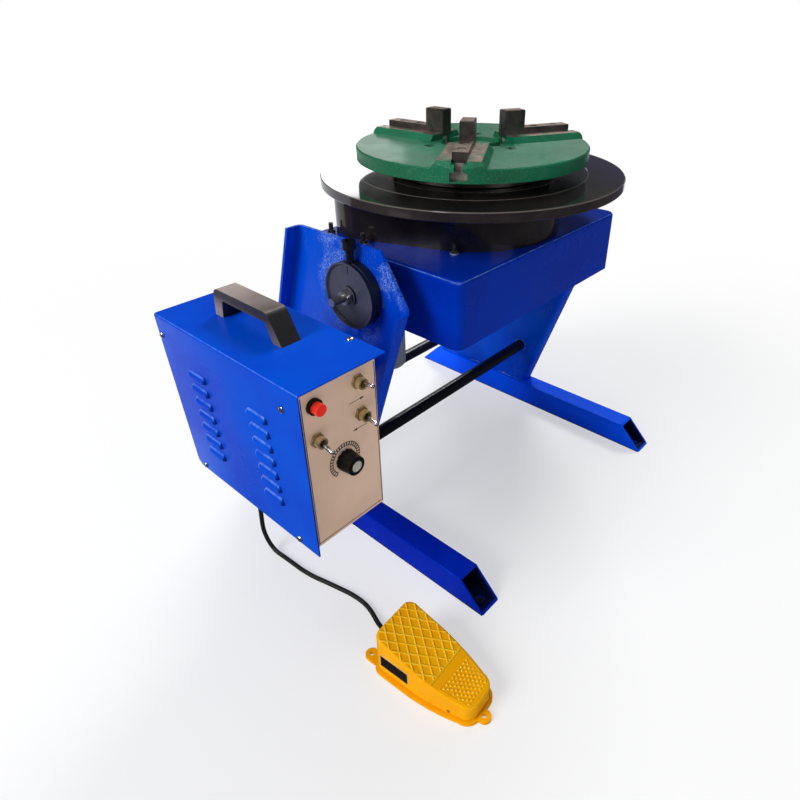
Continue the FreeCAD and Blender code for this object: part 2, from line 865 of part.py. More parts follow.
def way():
    """One raised machined way along +X: sloped sides, and a nose that runs down to the rim."""
    across = [
        V(0, -way_foot_half_width, chuck_top_z),
        V(0, -way_half_width, way_top_z),
        V(0, way_half_width, way_top_z),
        V(0, way_foot_half_width, chuck_top_z),
        V(0, way_foot_half_width, chuck_bottom_z),
        V(0, -way_foot_half_width, chuck_bottom_z),
    ]
    along = [
        V(way_inner_radius, -chuck_radius, chuck_bottom_z),
        V(way_inner_radius, -chuck_radius, way_top_z),
        V(way_outer_radius, -chuck_radius, way_top_z),
        V(chuck_radius, -chuck_radius, chuck_top_z),
        V(chuck_radius, -chuck_radius, chuck_bottom_z),
    ]
    bar = prism(across, RIGHT * chuck_radius)
    return bar.common(prism(along, BACK * 2 * chuck_radius))


def way_slot():
    """The stepped slot of one way along +X: T head, neck and the seat for the jaw."""
    beyond = chuck_radius + 10
    head = box(0, beyond, -slot_head_half_width, slot_head_half_width, slot_floor_z, slot_head_z)
    neck = box(0, beyond, -slot_neck_half_width, slot_neck_half_width, slot_head_z - 1, way_top_z + 1)
    seat_half = jaw_half_width + sliding_gap
    seat = box(0, beyond, -seat_half, seat_half, jaw_seat_z, way_top_z + 1)
    window = box(chuck_hub_radius + 4, scroll_radius - 4, -8, 8, chuck_bottom_z - 1, slot_floor_z + 1)
    return join(head, neck, seat, window)


def chuck_body():
    disc = rod(V(0, 0, chuck_bottom_z), UP, chuck_radius, chuck_thickness)
    disc = disc.makeChamfer(chuck_edge, edges_at_height(disc, chuck_top_z))
    rim = rod(V(0, 0, chuck_bottom_z), UP, chuck_radius, chuck_thickness + way_height)
    ways = [spun(way(), angle).common(rim) for angle in way_angles]
    body = join(disc, *ways)
    for angle in way_angles:
        body = body.cut(spun(way_slot(), angle))
    body = body.cut(rod(V(0, 0, chuck_bottom_z - 1), UP, chuck_bore_radius, chuck_thickness + way_height + 2))
    body = body.cut(rod(V(0, 0, chuck_top_z - chuck_recess_depth), UP, chuck_recess_radius, way_height + 10))
    for place in chuck_screw_places():
        body = body.cut(rod(place + UP, DOWN, chuck_screw_radius + sliding_gap, chuck_thickness + 1))
        body = body.cut(rod(place, UP, chuck_screw_head_radius + sliding_gap, cut_beyond))
    return body


def chuck_hub():
    """The spacer between the table and the chuck body, on which the scroll ring turns."""
    hub = pipe(V(0, 0, table_top_z), UP, chuck_hub_radius, chuck_bore_radius, chuck_lift)
    for place in chuck_screw_places():
        hub = hub.cut(rod(place, DOWN, chuck_screw_radius + sliding_gap, chuck_lift + chuck_thickness))
    return hub


def scroll_ring():
    start = V(0, 0, table_top_z + passing_gap)
    height = chuck_lift - 2 * passing_gap
    ring = pipe(start, UP, scroll_radius, chuck_hub_radius + sliding_gap, height)
    middle_z = start.z + height / 2
    for k in range(scroll_bar_holes):
        mouth = polar(scroll_radius + 1, 30 + 60 * k, middle_z)
        inward = polar(-1, 30 + 60 * k)
        ring = ring.cut(rod(mouth, inward, scroll_bar_hole_radius, scroll_bar_hole_depth + 1))
    rims = edges_at_height(ring, start.z) + edges_at_height(ring, start.z + height)
    rims = [e for e in rims if e.Curve.Radius > scroll_radius - 0.01]
    return ring.makeChamfer(0.8, rims)


def jaw():
    """A stepped jaw along +X: the gripping block at the inner end and a low tail with two sunk screws."""
    base_z = jaw_seat_z + sliding_gap
    block_r = jaw_inner_radius + jaw_block_length
    outline = [
        V(jaw_inner_radius, -jaw_half_width, base_z),
        V(jaw_inner_radius, -jaw_half_width, way_top_z + jaw_block_top),
        V(block_r, -jaw_half_width, way_top_z + jaw_block_top),
        V(block_r, -jaw_half_width, way_top_z + jaw_tail_top),
        V(jaw_tail_radius, -jaw_half_width, way_top_z + jaw_tail_top),
        V(jaw_tail_radius, -jaw_half_width, base_z),
    ]
    body = prism(outline, BACK * 2 * jaw_half_width)
    body = body.makeChamfer(jaw_edge, edges_at_height(body, way_top_z + jaw_block_top))
    head_seat_z = way_top_z + jaw_tail_top - jaw_screw_head_height - 1
    for x in jaw_screw_places:
        body = body.cut(rod(V(x, 0, base_z - 1), UP, jaw_screw_radius, cut_beyond))
        body = body.cut(rod(V(x, 0, head_seat_z), UP, jaw_screw_head_radius + sliding_gap, cut_beyond))
    return body


def jaw_slider():
    """The T slider under a jaw, and the two screws that hold the jaw on it."""
    foot_half = slot_head_half_width - sliding_gap
    neck_half = slot_neck_half_width - sliding_gap
    low = slot_floor_z + sliding_gap
    step = slot_head_z - sliding_gap
    high = jaw_seat_z + sliding_gap
    length = slider_outer_radius - slider_inner_radius
    foot = box(slider_inner_radius, slider_inner_radius + length, -foot_half, foot_half, low, step)
    neck_length = jaw_tail_radius - slider_inner_radius
    neck = box(slider_inner_radius, slider_inner_radius + neck_length, -neck_half, neck_half, step, high)
    body = join(foot, neck)
    head_seat_z = way_top_z + jaw_tail_top - jaw_screw_head_height - 1
    screw_length = head_seat_z - slot_floor_z - 3
    solids = []
    for x in jaw_screw_places:
        body = body.cut(rod(V(x, 0, head_seat_z), DOWN, jaw_screw_radius, screw_length + 1))
        size = (jaw_screw_radius, screw_length, jaw_screw_head_radius, jaw_screw_head_height)
        solids.append(cap_screw(V(x, 0, head_seat_z), UP, *size))
    return [body] + solids


# Control box
def rear_y(z, inset=0.0):
    """The slanting rear edge of the box at a height."""
    return box_rear_top_y - inset - (box_top_z - z) * box_rear_slope


def louvre_places():
    places = []
    for start in louvre_column_starts:
        for k in range(louvre_count):
            places.append((start + louvre_column_lean * k, louvre_top_z - louvre_pitch * k))
    return places


def louvre_hood(y, z, reach, height, length):
    """A louvre's hood: its side view pushed along Y, and turned at both ends so that they are round."""
    near = louvre_section(y + reach, z, reach, height)
    far = louvre_section(y + length - reach, z, reach, height)
    middle = near.extrude(BACK * (length - 2 * reach))
    ends = [near.revolve(V(box_left_x, y + reach, z), UP, 90), far.revolve(V(box_left_x, y + length - reach, z), UP, -90)]
    return join(middle, *ends)


def louvre_section(y, z, reach, height):
    """The side view of a louvre: flat below, curved from its lip up to the sheet."""
    root = V(box_left_x, y, z)
    lip = V(box_left_x - reach, y, z)
    top = V(box_left_x, y, z + height)
    shoulder = V(box_left_x - reach * 0.72, y, z + height * 0.6)
    curve = Part.Arc(lip, shoulder, top).toShape()
    base = [Part.LineSegment(top, root).toShape(), Part.LineSegment(root, lip).toShape()]
    return Part.Face(Part.Wire([curve] + base))


def box_cover():
    """Left side and top folded from one sheet, with louvres pressed out of the side."""
    right_x = box_wall_x + cover_overhang
    low_z = box_top_z - box_side_height
    side = box(box_left_x, box_inner_x, box_front_y, box_rear_top_y, low_z, box_top_z)
    top = box(box_left_x, right_x, box_front_y, box_rear_top_y, box_under_top_z, box_top_z)
    sheet = join(side, top)
    outer_bend = edges_through(sheet, [V(box_left_x, 0, box_top_z)])
    sheet = sheet.makeFillet(cover_bend_radius, outer_bend)
    inner_bend = edges_through(sheet, [V(box_inner_x, 0, box_under_top_z)])
    sheet = sheet.makeFillet(cover_bend_radius - box_sheet, inner_bend)
    behind = [
        V(box_left_x - 1, rear_y(box_top_z), box_top_z),
        V(box_left_x - 1, rear_y(low_z + cover_corner_clip), low_z + cover_corner_clip),
        V(box_left_x - 1, rear_y(low_z) - cover_corner_clip, low_z),
        V(box_left_x - 1, rear_y(low_z) - cover_corner_clip, low_z - 1),
        V(box_left_x - 1, box_rear_top_y + 1, low_z - 1),
        V(box_left_x - 1, box_rear_top_y + 1, box_top_z),
    ]
    sheet = sheet.cut(prism(behind, RIGHT * (box_sheet + 1)))
    hoods = []
    slots = []
    for y, z in louvre_places():
        hood = louvre_hood(y, z, louvre_reach, louvre_height, louvre_length)
        inner = (louvre_reach - louvre_lip, louvre_height - louvre_lip, louvre_length - 2 * louvre_lip)
        hoods.append(hood.cut(louvre_hood(y + louvre_lip, z, *inner)))
        slot_top = z + louvre_height - 2 * louvre_lip
        y_end = y + louvre_length - louvre_lip
        slots.append(box(box_left_x - 0.5, box_inner_x + 1, y + louvre_lip, y_end, z, slot_top))
    sheet = sheet.multiFuse(hoods).cut(Part.makeCompound(slots))
    for place, direction in cover_screw_places():
        sheet = sheet.cut(rod(place + direction, direction * -1, cover_screw_radius, box_sheet + 2))
    return sheet


def cover_screw_places():
    side = [(V(box_left_x, y, z), LEFT) for y, z in upper_side_screws + lower_side_screws]
    top_x = box_wall_x + cover_overhang / 2
    return side + [(V(top_x, y, box_top_z), UP) for y in top_screw_ys]


def cover_screws():
    size = (cover_screw_radius, cover_screw_length, cover_screw_head_radius, cover_screw_head_height)
    return [cap_screw(place, direction, *size) for place, direction in cover_screw_places()]


def chassis_outline(x, inset, top_z):
    low_z = panel_bottom_z + inset
    front = chassis_front_y + inset
    rear_inset = box_sheet + inset
    return [
        V(x, front, low_z),
        V(x, rear_y(low_z, rear_inset), low_z),
        V(x, rear_y(top_z, rear_inset), top_z),
        V(x, front, top_z),
    ]


def side_tabs():
    """Tabs turned in from the rear and the front wall, behind the upper side screws."""
    (rear_screw_y, rear_z), (front_screw_y, front_z) = upper_side_screws
    low = rear_z - tab_half_height
    high = rear_z + tab_half_height
    near = rear_screw_y - tab_margin
    rear_outline = [
        V(box_inner_x, near, low),
        V(box_inner_x, rear_y(low, 1.5 * box_sheet), low),
        V(box_inner_x, rear_y(high, 1.5 * box_sheet), high),
        V(box_inner_x, near, high),
    ]
    rear_tab = prism(rear_outline, RIGHT * box_sheet)
    low = front_z - tab_half_height
    high = front_z + tab_half_height
    tab_x = box_inner_x + box_sheet
    front_tab = box(box_inner_x, tab_x, chassis_front_y, front_screw_y + tab_margin, low, high)
    return [rear_tab, front_tab]


def box_chassis():
    """Front, bottom, rear and right wall folded from sheet, with tabs and flanges for the cover's screws."""
    outer = prism(chassis_outline(box_inner_x, 0, box_under_top_z), RIGHT * (box_wall_x - box_inner_x))
    outer = outer.makeFillet(cover_bend_radius, edges_through(outer, [V(box_inner_x, 0, box_under_top_z)]))
    room_outline = chassis_outline(box_inner_x - 1, box_sheet, box_under_top_z + 5)
    tub = outer.cut(prism(room_outline, RIGHT * (box_wall_x - box_sheet - box_inner_x + 1)))
    tab_x = box_inner_x + box_sheet
    flange_low = box_under_top_z - box_sheet
    rear_end = rear_y(flange_low, box_sheet)
    top_flange = box(
        box_wall_x - box_sheet, box_wall_x + cover_overhang - 1, chassis_front_y + 5, rear_end - 2, flange_low, box_under_top_z
    )
    skirt_low = box_top_z - box_side_height + 1
    skirt_rear = rear_y(panel_bottom_z, 2 * box_sheet) - cover_corner_clip
    side_skirt = box(box_inner_x, tab_x, chassis_front_y + 5, skirt_rear, skirt_low, panel_bottom_z + box_sheet)
    body = join(tub, top_flange, side_skirt, *side_tabs())
    for place, direction in cover_screw_places():
        body = body.cut(rod(place + direction, direction * -1, cover_screw_radius, cover_screw_length + 3))
    body = body.cut(panel_holes(chassis_front_y - 1, chassis_inside_y + 1))
    for y in arm_ys:
        body = body.cut(rod(V(box_wall_x + 1, y, arm_z + arm_side / 2), LEFT, arm_bolt_radius, box_sheet + 2))
    gland_top = V(cord_route[0][0], cord_route[0][1], panel_bottom_z - 1)
    return body.cut(rod(gland_top, UP, gland_tip_radius, box_sheet + 2))


def panel_holes(front, rear):
    """The holes for the switches, the lamp and the speed control, as one cutting shape."""
    depth = rear - front
    places = [(x, z, switch_radius) for x, z in switch_places.values()]
    places += [(lamp_x, lamp_z, lamp_lens_radius), (speed_x, speed_z, speed_bush_radius)]
    cutters = [rod(V(x, front, z), BACK, radius + running_gap, depth) for x, z, radius in places]
    return Part.makeCompound(cutters)


def front_panel():
    plate = box(panel_left_x, box_wall_x, panel_front_y, chassis_front_y, panel_bottom_z, panel_top_z)
    return plate.cut(panel_holes(panel_front_y - 1, chassis_front_y + 1))


def carry_handle():
    """A flat-topped grip on two tapered legs."""
    base_z = box_top_z
    top_z = box_top_z + handle_height
    x = handle_left_x
    outline = [
        V(x, handle_rear_y, base_z),
        V(x, handle_rear_y - handle_rear_lean, top_z),
        V(x, handle_front_y + handle_front_lean, top_z),
        V(x, handle_front_y, base_z),
        V(x, handle_front_y + handle_leg, base_z),
        V(x, handle_front_y + handle_leg + handle_front_lean / 2, top_z - handle_grip),
        V(x, handle_rear_y - handle_leg - handle_rear_lean, top_z - handle_grip),
        V(x, handle_rear_y - handle_leg, base_z),
    ]
    bar = prism(outline, RIGHT * handle_width)
    middle = x + handle_width / 2
    outer = [V(middle, outline[k].y, top_z) for k in (1, 2)]
    corners = [V(x + handle_width / 2, p.y, p.z) for p in outer]
    inner = [V(middle, outline[k].y, top_z - handle_grip) for k in (5, 6)]
    bar = bar.makeFillet(handle_corner_radius, edges_through(bar, corners))
    return bar.makeFillet(handle_corner_radius / 3, edges_through(bar, inner))


def switch_body(x, z):
    """A toggle switch: case behind the panel, threaded bush through it, flat nut in front."""
    case = box(
        x - switch_case_width / 2, x + switch_case_width / 2,
        chassis_inside_y, chassis_inside_y + switch_case_depth,
        z - switch_case_height / 2, z + switch_case_height / 2,
    )
    bush = rod(V(x, chassis_inside_y, z), FRONT, switch_radius, chassis_inside_y - panel_front_y + switch_reach)
    flat = nut(V(x, panel_front_y, z), FRONT, switch_nut_across, switch_nut_height, switch_radius)
    pivot_y = panel_front_y - switch_pivot_reach
    seat_radius = toggle_ball_radius + running_gap
    seat = rod(V(x, pivot_y + toggle_ball_radius + 1, z), FRONT, seat_radius, toggle_ball_radius + 3)
    flare_length = switch_reach - switch_pivot_reach
    flare = Part.makeCone(seat_radius, switch_mouth_radius, flare_length, V(x, pivot_y - 1, z), FRONT)
    return join(case, bush, flat).cut(join(seat, flare))


def toggle(x, z, lean):
    """A ball-ended lever, leaning up or down from its pivot inside the bush."""
    pivot = V(x, panel_front_y - switch_pivot_reach, z)
    angle = math.radians(toggle_tilt) * lean
    direction = V(0, -math.cos(angle), math.sin(angle))
    ball = Part.makeSphere(toggle_ball_radius, pivot)
    bat = Part.makeCone(toggle_root_radius, toggle_tip_radius, toggle_length, pivot, direction)
    tip = Part.makeSphere(toggle_tip_radius, pivot + direction * toggle_length)
    return join(ball, bat, tip)


def lamp_bezel():
    front = V(lamp_x, panel_front_y, lamp_z)
    ring = rod(front, FRONT, lamp_bezel_radius, lamp_bezel_reach)
    body_length = chassis_inside_y + lamp_body_depth - panel_front_y
    body = rod(front, BACK, lamp_lens_radius, body_length)
    socket = rod(front + FRONT * (lamp_bezel_reach + 1), BACK, lamp_lens_radius - 0.5, lamp_bezel_reach + 3)
    return join(ring, body).cut(socket)


def lamp_lens():
    start = V(lamp_x, panel_front_y + 2, lamp_z)
    lens = rod(start, FRONT, lamp_lens_radius - 0.5, lamp_lens_reach + 2)
    front = [e for e in lens.Edges if abs(e.BoundBox.YMax - (panel_front_y - lamp_lens_reach)) < 0.01]
    return lens.makeFillet(1.2, front)


def speed_control():
    """A potentiometer: case behind the panel, bush through it and a nut under the knob."""
    case = rod(V(speed_x, chassis_inside_y, speed_z), BACK, speed_case_radius, speed_case_depth)
    length = chassis_inside_y - panel_front_y + speed_bush_reach
    bush = rod(V(speed_x, chassis_inside_y, speed_z), FRONT, speed_bush_radius, length)
    flat = nut(V(speed_x, panel_front_y, speed_z), FRONT, speed_bush_radius * 2.6, 2, speed_bush_radius)
    bore_start = V(speed_x, panel_front_y - speed_bush_reach - 1, speed_z)
    bore = rod(bore_start, BACK, speed_shaft_radius + running_gap, speed_bush_reach + 9)
    return join(case, bush, flat).cut(bore)


def speed_knob():
    """A fluted knob with its shaft; hollow behind, so that it clears the nut."""
    back_y = panel_front_y - passing_gap * 2
    back = V(speed_x, back_y, speed_z)
    body = Part.makeCone(knob_radius, knob_nose_radius, knob_length, back, FRONT)
    for k in range(knob_flutes):
        offset = aimed(Part.makeCylinder(knob_flute_radius, knob_length, polar(knob_radius, 360 * k / knob_flutes)), back, FRONT)
        body = body.cut(offset)
    hollow_depth = speed_bush_reach + 0.5
    body = body.cut(rod(back + BACK, FRONT, knob_nose_radius - 2.5, hollow_depth + 1))
    shaft = rod(V(speed_x, panel_front_y, speed_z), FRONT, speed_shaft_radius, hollow_depth + 3)
    cap_seat = V(speed_x, back_y - knob_length, speed_z)
    cap = rod(cap_seat, FRONT, knob_cap_radius, 0.6)
    return [join(body, shaft), cap]


def box_arms():
    reach = box_wall_x + plate_outer_x
    solids = []
    for y in arm_ys:
        bar = box(box_wall_x, box_wall_x - reach, y - arm_side / 2, y + arm_side / 2, arm_z, arm_z + arm_side)
        hole = rod(V(box_wall_x - 1, y, arm_z + arm_side / 2), RIGHT, arm_bolt_radius, arm_bolt_length + 2)
        solids.append(bar.cut(hole))
    return solids


def arm_bolts():
    seat_x = box_wall_x - box_sheet
    size = (arm_bolt_radius, arm_bolt_length, arm_bolt_across, arm_bolt_head)
    return [hex_screw(V(seat_x, y, arm_z + arm_side / 2), LEFT, *size) for y in arm_ys]


def box_electrics():
    """A control board on the right wall's inside and a transformer on the bottom."""
    inside_x = box_wall_x - box_sheet
    floor_z = panel_bottom_z + box_sheet
    low = floor_z + board_lift
    face_x = inside_x - board_stand_off
    board = box(face_x, face_x + board_thickness, board_front_y, board_front_y + board_length, low, low + board_height)
    post_ys = (board_front_y + post_inset, board_front_y + board_length - post_inset)
    post_zs = (low + post_inset, low + board_height - post_inset)
    post_length = board_stand_off - board_thickness
    posts = [rod(V(inside_x, y, z), LEFT, post_radius, post_length) for y in post_ys for z in post_zs]
    board = join(board, *posts)
    half = transformer_size / 2
    centre_x = (box_inner_x + inside_x - board_stand_off) / 2
    rear = transformer_front_y + transformer_depth
    core = box(centre_x - half, centre_x + half, transformer_front_y, rear, floor_z, floor_z + transformer_height)
    coil_front = transformer_front_y - coil_overhang
    coil_top = floor_z + transformer_height - coil_inset
    coil = box(centre_x - half / 2, centre_x + half / 2, coil_front, rear + coil_overhang, floor_z + coil_inset, coil_top)
    return [board, join(core, coil)]


def cord_gland():
    """A gland through the bottom of the box: flange and a tapered nose that the cord leaves."""
    x, y = cord_route[0]
    seat = V(x, y, panel_bottom_z)
    flange = rod(seat, DOWN, gland_radius, 4)
    nose = Part.makeCone(gland_radius, gland_tip_radius, gland_reach - 4, seat + DOWN * 4, DOWN)
    neck = rod(seat, UP, gland_tip_radius, box_sheet)
    lock = aimed(hexagon(gland_radius * 2, 5), seat + UP * box_sheet, UP)
    return join(flange, nose, neck, lock)


def cord_points():
    first = V(cord_route[0][0], cord_route[0][1], panel_bottom_z - gland_reach)
    last = on_pedal(V(grommet_across, grommet_reach, grommet_z))
    return [first] + [V(*p) for p in cord_route[1:]] + [last]


def cord_path(points):
    """Straight runs joined by tangent arcs, each arc as large as its two runs allow."""
    edges = []
    reached = points[0]
    for before, corner, after in zip(points, points[1:], points[2:]):
        into = (corner - before).normalize()
        out = (after - corner).normalize()
        half_turn = into.getAngle(out) / 2
        setback = 0.45 * min((corner - before).Length, (after - corner).Length)
        radius = setback / math.tan(half_turn)
        print("cord bend at", corner, "turns", round(math.degrees(2 * half_turn)), "radius", round(radius, 1))
        start = corner - into * setback
        end = corner + out * setback
        inward = (out - into).normalize()
        middle = corner + inward * (radius / math.cos(half_turn) - radius)
        edges.append(Part.LineSegment(reached, start).toShape())
        edges.append(Part.Arc(start, middle, end).toShape())
        reached = end
    edges.append(Part.LineSegment(reached, points[-1]).toShape())
    return Part.Wire(edges)


def pedal_cord():
    points = cord_points()
    path = cord_path(points)
    direction = (points[1] - points[0]).normalize()
    circle = Part.Wire(Part.makeCircle(cord_radius, points[0], direction))
    tube = path.makePipeShell([circle], True, False)
    print("cord length", round(path.Length, 1), "volume ratio", tube.Volume / (math.pi * cord_radius**2 * path.Length))
    return tube


# Foot pedal
def on_pedal(point):
    turned = FreeCAD.Rotation(UP, pedal_turn).multVec(point)
    return turned + V(pedal_x, pedal_y, 0)


def set_down(shape):
    return spun(shape, pedal_turn).translated(V(pedal_x, pedal_y, 0))


def pedal_outline(grow):
    """The pedal seen from above: square rear corners with a radius, sides that draw in to a rounded toe."""
    r = pedal_corner_radius
    t = pedal_toe_radius
    w = pedal_half_width
    n = pedal_toe_half_width
    toe = -pedal_length
    straight = -pedal_length * 0.42
    lean = math.atan2(w - n, pedal_length * 0.58 - t)
    knuckle = V(n, toe + t, 0)
    bulge = V((w + n) / 2 + 1.8, (straight + toe + t) / 2, 0)
    diagonal = math.sqrt(0.5)
    right = [
        Part.Arc(V(w - r, 0, 0), V(w - r + r * diagonal, r * diagonal - r, 0), V(w, -r, 0)).toShape(),
        Part.LineSegment(V(w, -r, 0), V(w, straight, 0)).toShape(),
        Part.Arc(V(w, straight, 0), bulge, knuckle).toShape(),
        Part.Arc(knuckle, V(n - t + t * diagonal, toe + t - t * diagonal, 0), V(n - t, toe, 0)).toShape(),
    ]
    left = [e.mirror(ORIGIN, RIGHT) for e in right]
    ends = [
        Part.LineSegment(V(n - t, toe, 0), V(t - n, toe, 0)).toShape(),
        Part.LineSegment(V(r - w, 0, 0), V(w - r, 0, 0)).toShape(),
    ]
    wire = Part.Wire(Part.__sortEdges__(right + left + ends))
    return wire if grow == 0 else wire.makeOffset2D(grow)


def pedal_slab(grow, low, high):
    return Part.Face(pedal_outline(grow)).extrude(UP * (high - low)).translated(UP * low)


def tread_height(along):
    """Height of the treadle's top above the floor."""
    if along < pedal_border_along:
        rise = pedal_rear_height - pedal_border_height
        return pedal_rear_height - rise * along / pedal_border_along
    drop = pedal_border_height - pedal_toe_height
    return pedal_border_height - drop * (along - pedal_border_along) / (pedal_length - pedal_border_along)


def tread_envelope(drop, low_rear, low_toe):
    """The side view of the treadle pushed across: sloping top, and a lower edge that rises to the rear."""
    reach = 20.0
    half = pedal_half_width + reach
    side = [
        V(-half, reach, low_rear),
        V(-half, reach, tread_height(-reach) - drop),
        V(-half, -pedal_border_along, pedal_border_height - drop),
        V(-half, -pedal_length - reach, tread_height(pedal_length + reach) - drop),
        V(-half, -pedal_length - reach, low_toe),
    ]
    return prism(side, RIGHT * 2 * half)


def treadle():
    """A wedge-shaped hood, open below, with bosses for the spring and the microswitch."""
    outer = pedal_slab(0, 0, pedal_rear_height + 10)
    outer = outer.common(tread_envelope(0, pedal_skirt_rear_z, pedal_skirt_toe_z))
    rim = [e for e in outer.Edges if e.BoundBox.ZMin > pedal_toe_height - 1 and e.BoundBox.YLength > 1]
    outer = outer.makeFillet(pedal_top_edge_radius, rim)
    inner = pedal_slab(-pedal_wall, -5, pedal_rear_height + 10).common(tread_envelope(pedal_wall, -10, -10))
    shell = outer.cut(inner)
    seat_z = pedal_floor + spring_seat_height
    spring_boss = pipe(V(0, -spring_along, seat_z), UP, spring_radius + 2, 2.5, pedal_rear_height)
    press_z = pedal_floor + micro_height + plunger_reach + plunger_free_travel
    press_boss = rod(V(0, -micro_along, press_z), UP, tread_boss_radius, pedal_rear_height)
    under_top = tread_envelope(pedal_wall / 2, -10, -10)
    shell = join(shell, spring_boss.common(under_top), press_boss.common(under_top))
    pin_hole = rod(V(-50, -pedal_pin_along, pedal_pin_z), RIGHT, pedal_pin_radius + running_gap, 100)
    notch_half = grommet_radius + 1.5
    notch_top = grommet_z + grommet_radius + treadle_travel_room
    notch = box(grommet_across - notch_half, grommet_across + notch_half, -8, 5, 0, notch_top)
    return shell.cut(pin_hole).cut(notch)


def pedal_base():
    """The floor plate with three ears, and a low wall that the treadle closes over."""
    plate = pedal_slab(pedal_rim, 0, pedal_floor)
    wall_grow = -pedal_wall - 0.6
    plinth = pedal_slab(wall_grow, 0, pedal_plinth_height).cut(pedal_slab(wall_grow - pedal_wall, -1, pedal_plinth_height + 1))
    ear_places = [
        V(-rear_ear_across, rear_ear_reach, 0),
        V(rear_ear_across, rear_ear_reach, 0),
        V(toe_ear_across, -pedal_length - toe_ear_reach, 0),
    ]
    body = join(plate, plinth)
    for place in ear_places:
        inward = -1 if place.y > 0 else 1
        far = place.y + inward * (abs(place.y) - 2 if place.y > 0 else toe_ear_reach + 2)
        web = box(
            place.x - pedal_ear_radius, place.x + pedal_ear_radius, min(place.y, far), max(place.y, far), 0, pedal_floor
        )
        ear = join(rod(place, UP, pedal_ear_radius, pedal_ear_thickness), web)
        body = join(body, ear)
        body = body.cut(rod(place + DOWN, UP, pedal_ear_hole_radius, 10))
    pin_hole = rod(V(-50, -pedal_pin_along, pedal_pin_z), RIGHT, pedal_pin_radius, 100)
    grommet_hole = rod(V(grommet_across, 10, grommet_z), FRONT, grommet_radius - 1, 30)
    return body.cut(pin_hole).cut(grommet_hole)


def pedal_pin():
    half = pedal_toe_half_width + 4
    return rod(V(-half, -pedal_pin_along, pedal_pin_z), RIGHT, pedal_pin_radius, 2 * half)


def pedal_grommet():
    """A rubber sleeve that carries the cord through the base's rear wall."""
    wall_y = -pedal_wall - 0.6
    outer = rod(V(grommet_across, grommet_reach, grommet_z), FRONT, grommet_radius, grommet_reach - wall_y)
    plug = rod(V(grommet_across, wall_y, grommet_z), FRONT, grommet_radius - 1, pedal_wall + 2)
    return join(outer, plug)


def pedal_switch():
    half = micro_width / 2
    y = -micro_along
    case = box(-half, half, y - micro_length / 2, y + micro_length / 2, pedal_floor, pedal_floor + micro_height)
    plunger = rod(V(0, y, pedal_floor + micro_height), UP, plunger_radius, plunger_reach)
    return join(case, plunger)


def pedal_spring():
    """A compression spring of square wire from the base to the treadle's boss."""
    length = spring_seat_height - 2 * spring_wire - 0.3
    helix = Part.makeHelix(length / spring_turns, length, spring_radius)
    corners = [(-1, -1), (1, -1), (1, 1), (-1, 1), (-1, -1)]
    section = Part.makePolygon([V(spring_radius + spring_wire * a, 0, spring_wire * b) for a, b in corners])
    coil = Part.Wire(helix.Edges).makePipeShell([section], True, True)
    return coil.translated(V(0, -spring_along, pedal_floor + spring_wire + 0.1))


def main():
    os.makedirs("parts", exist_ok=True)
    save("foot_right", foot())
    save("foot_left", mirrored(foot()))
    save("side_plate_right", side_plate())
    save("side_plate_left", mirrored(side_plate()))
    save("cross_bars", cross_bar(front_bar_y), cross_bar(rear_bar_y))
    save("trunnion_bushes", trunnion_bush(), mirrored(trunnion_bush()))
    save("friction_washer", friction_washer())

    save("tray", tray())
    save("trunnion_left", trunnion_left())
    save("trunnion_right", trunnion_right())
    save("wheel_nut", wheel_nut())
    save("clamp_wheel", clamp_wheel())
    save("wheel_lever", wheel_lever())
    save("tray_bolts", *tray_bolts())
    save("gear_housing", gear_housing())
    save("bearing_housing", bearing_housing())
    save("spindle_bearings", *spindle_bearings())
    save("gearbox", gearbox())
    save("gearbox_screws", *gearbox_screws())
    save("motor", motor())
    save("pinion", pinion())

    save("spindle", spindle())
    save("ring_gear", ring_gear())
    save("spindle_screws", *spindle_screws())
    save("turntable", turntable())
    save("chuck_hub", chuck_hub())
    save("chuck_body", chuck_body())
    save("chuck_screws", *chuck_screws())
    save("scroll_ring", scroll_ring())
    for number, angle in enumerate(way_angles, 1):
        save("jaw_%d" % number, spun(jaw(), angle))
        save("jaw_slider_%d" % number, *[spun(s, angle) for s in jaw_slider()])

    save("box_cover", box_cover())
    save("cover_screws", *cover_screws())
    save("box_chassis", box_chassis())
    save("front_panel", front_panel())
    save("carry_handle", carry_handle())
    save("switch_bodies", *[switch_body(x, z) for x, z in switch_places.values()])
    for name, (x, z) in switch_places.items():
        save(name + "_toggle", toggle(x, z, switch_lean[name]))
    save("lamp_bezel", lamp_bezel())
    save("lamp_lens", lamp_lens())
    save("speed_control", speed_control())
    knob, cap = speed_knob()
    save("speed_knob", knob)
    save("knob_cap", cap)
    save("box_arms", *box_arms())
    save("arm_bolts", *arm_bolts())
    save("box_electrics", *box_electrics())
    save("cord_gland", cord_gland())
    save("pedal_cord", pedal_cord())

    save("pedal_base", set_down(pedal_base()))
    save("treadle", set_down(treadle()))
    save("pedal_pin", set_down(pedal_pin()))
    save("pedal_grommet", set_down(pedal_grommet()))
    save("pedal_switch", set_down(pedal_switch()))
    save("pedal_spring", set_down(pedal_spring()))


main()
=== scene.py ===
# %% [markdown]
# # A welding positioner, dressed in Blender
# The CAD model of the positioner is already packed as a fixed frame: every steel, cast and plastic part
# has its true size and place. This lesson adds what CAD leaves out: a studio, a camera, paint and metal
# finishes, weld beads, the pedal's tread, the dial, cross-slotted screws and the cord.
# Everything is in metres, with +Z up and the operator on the -Y side.

import json
import math

import bmesh
import bpy
from mathutils import Matrix, Vector


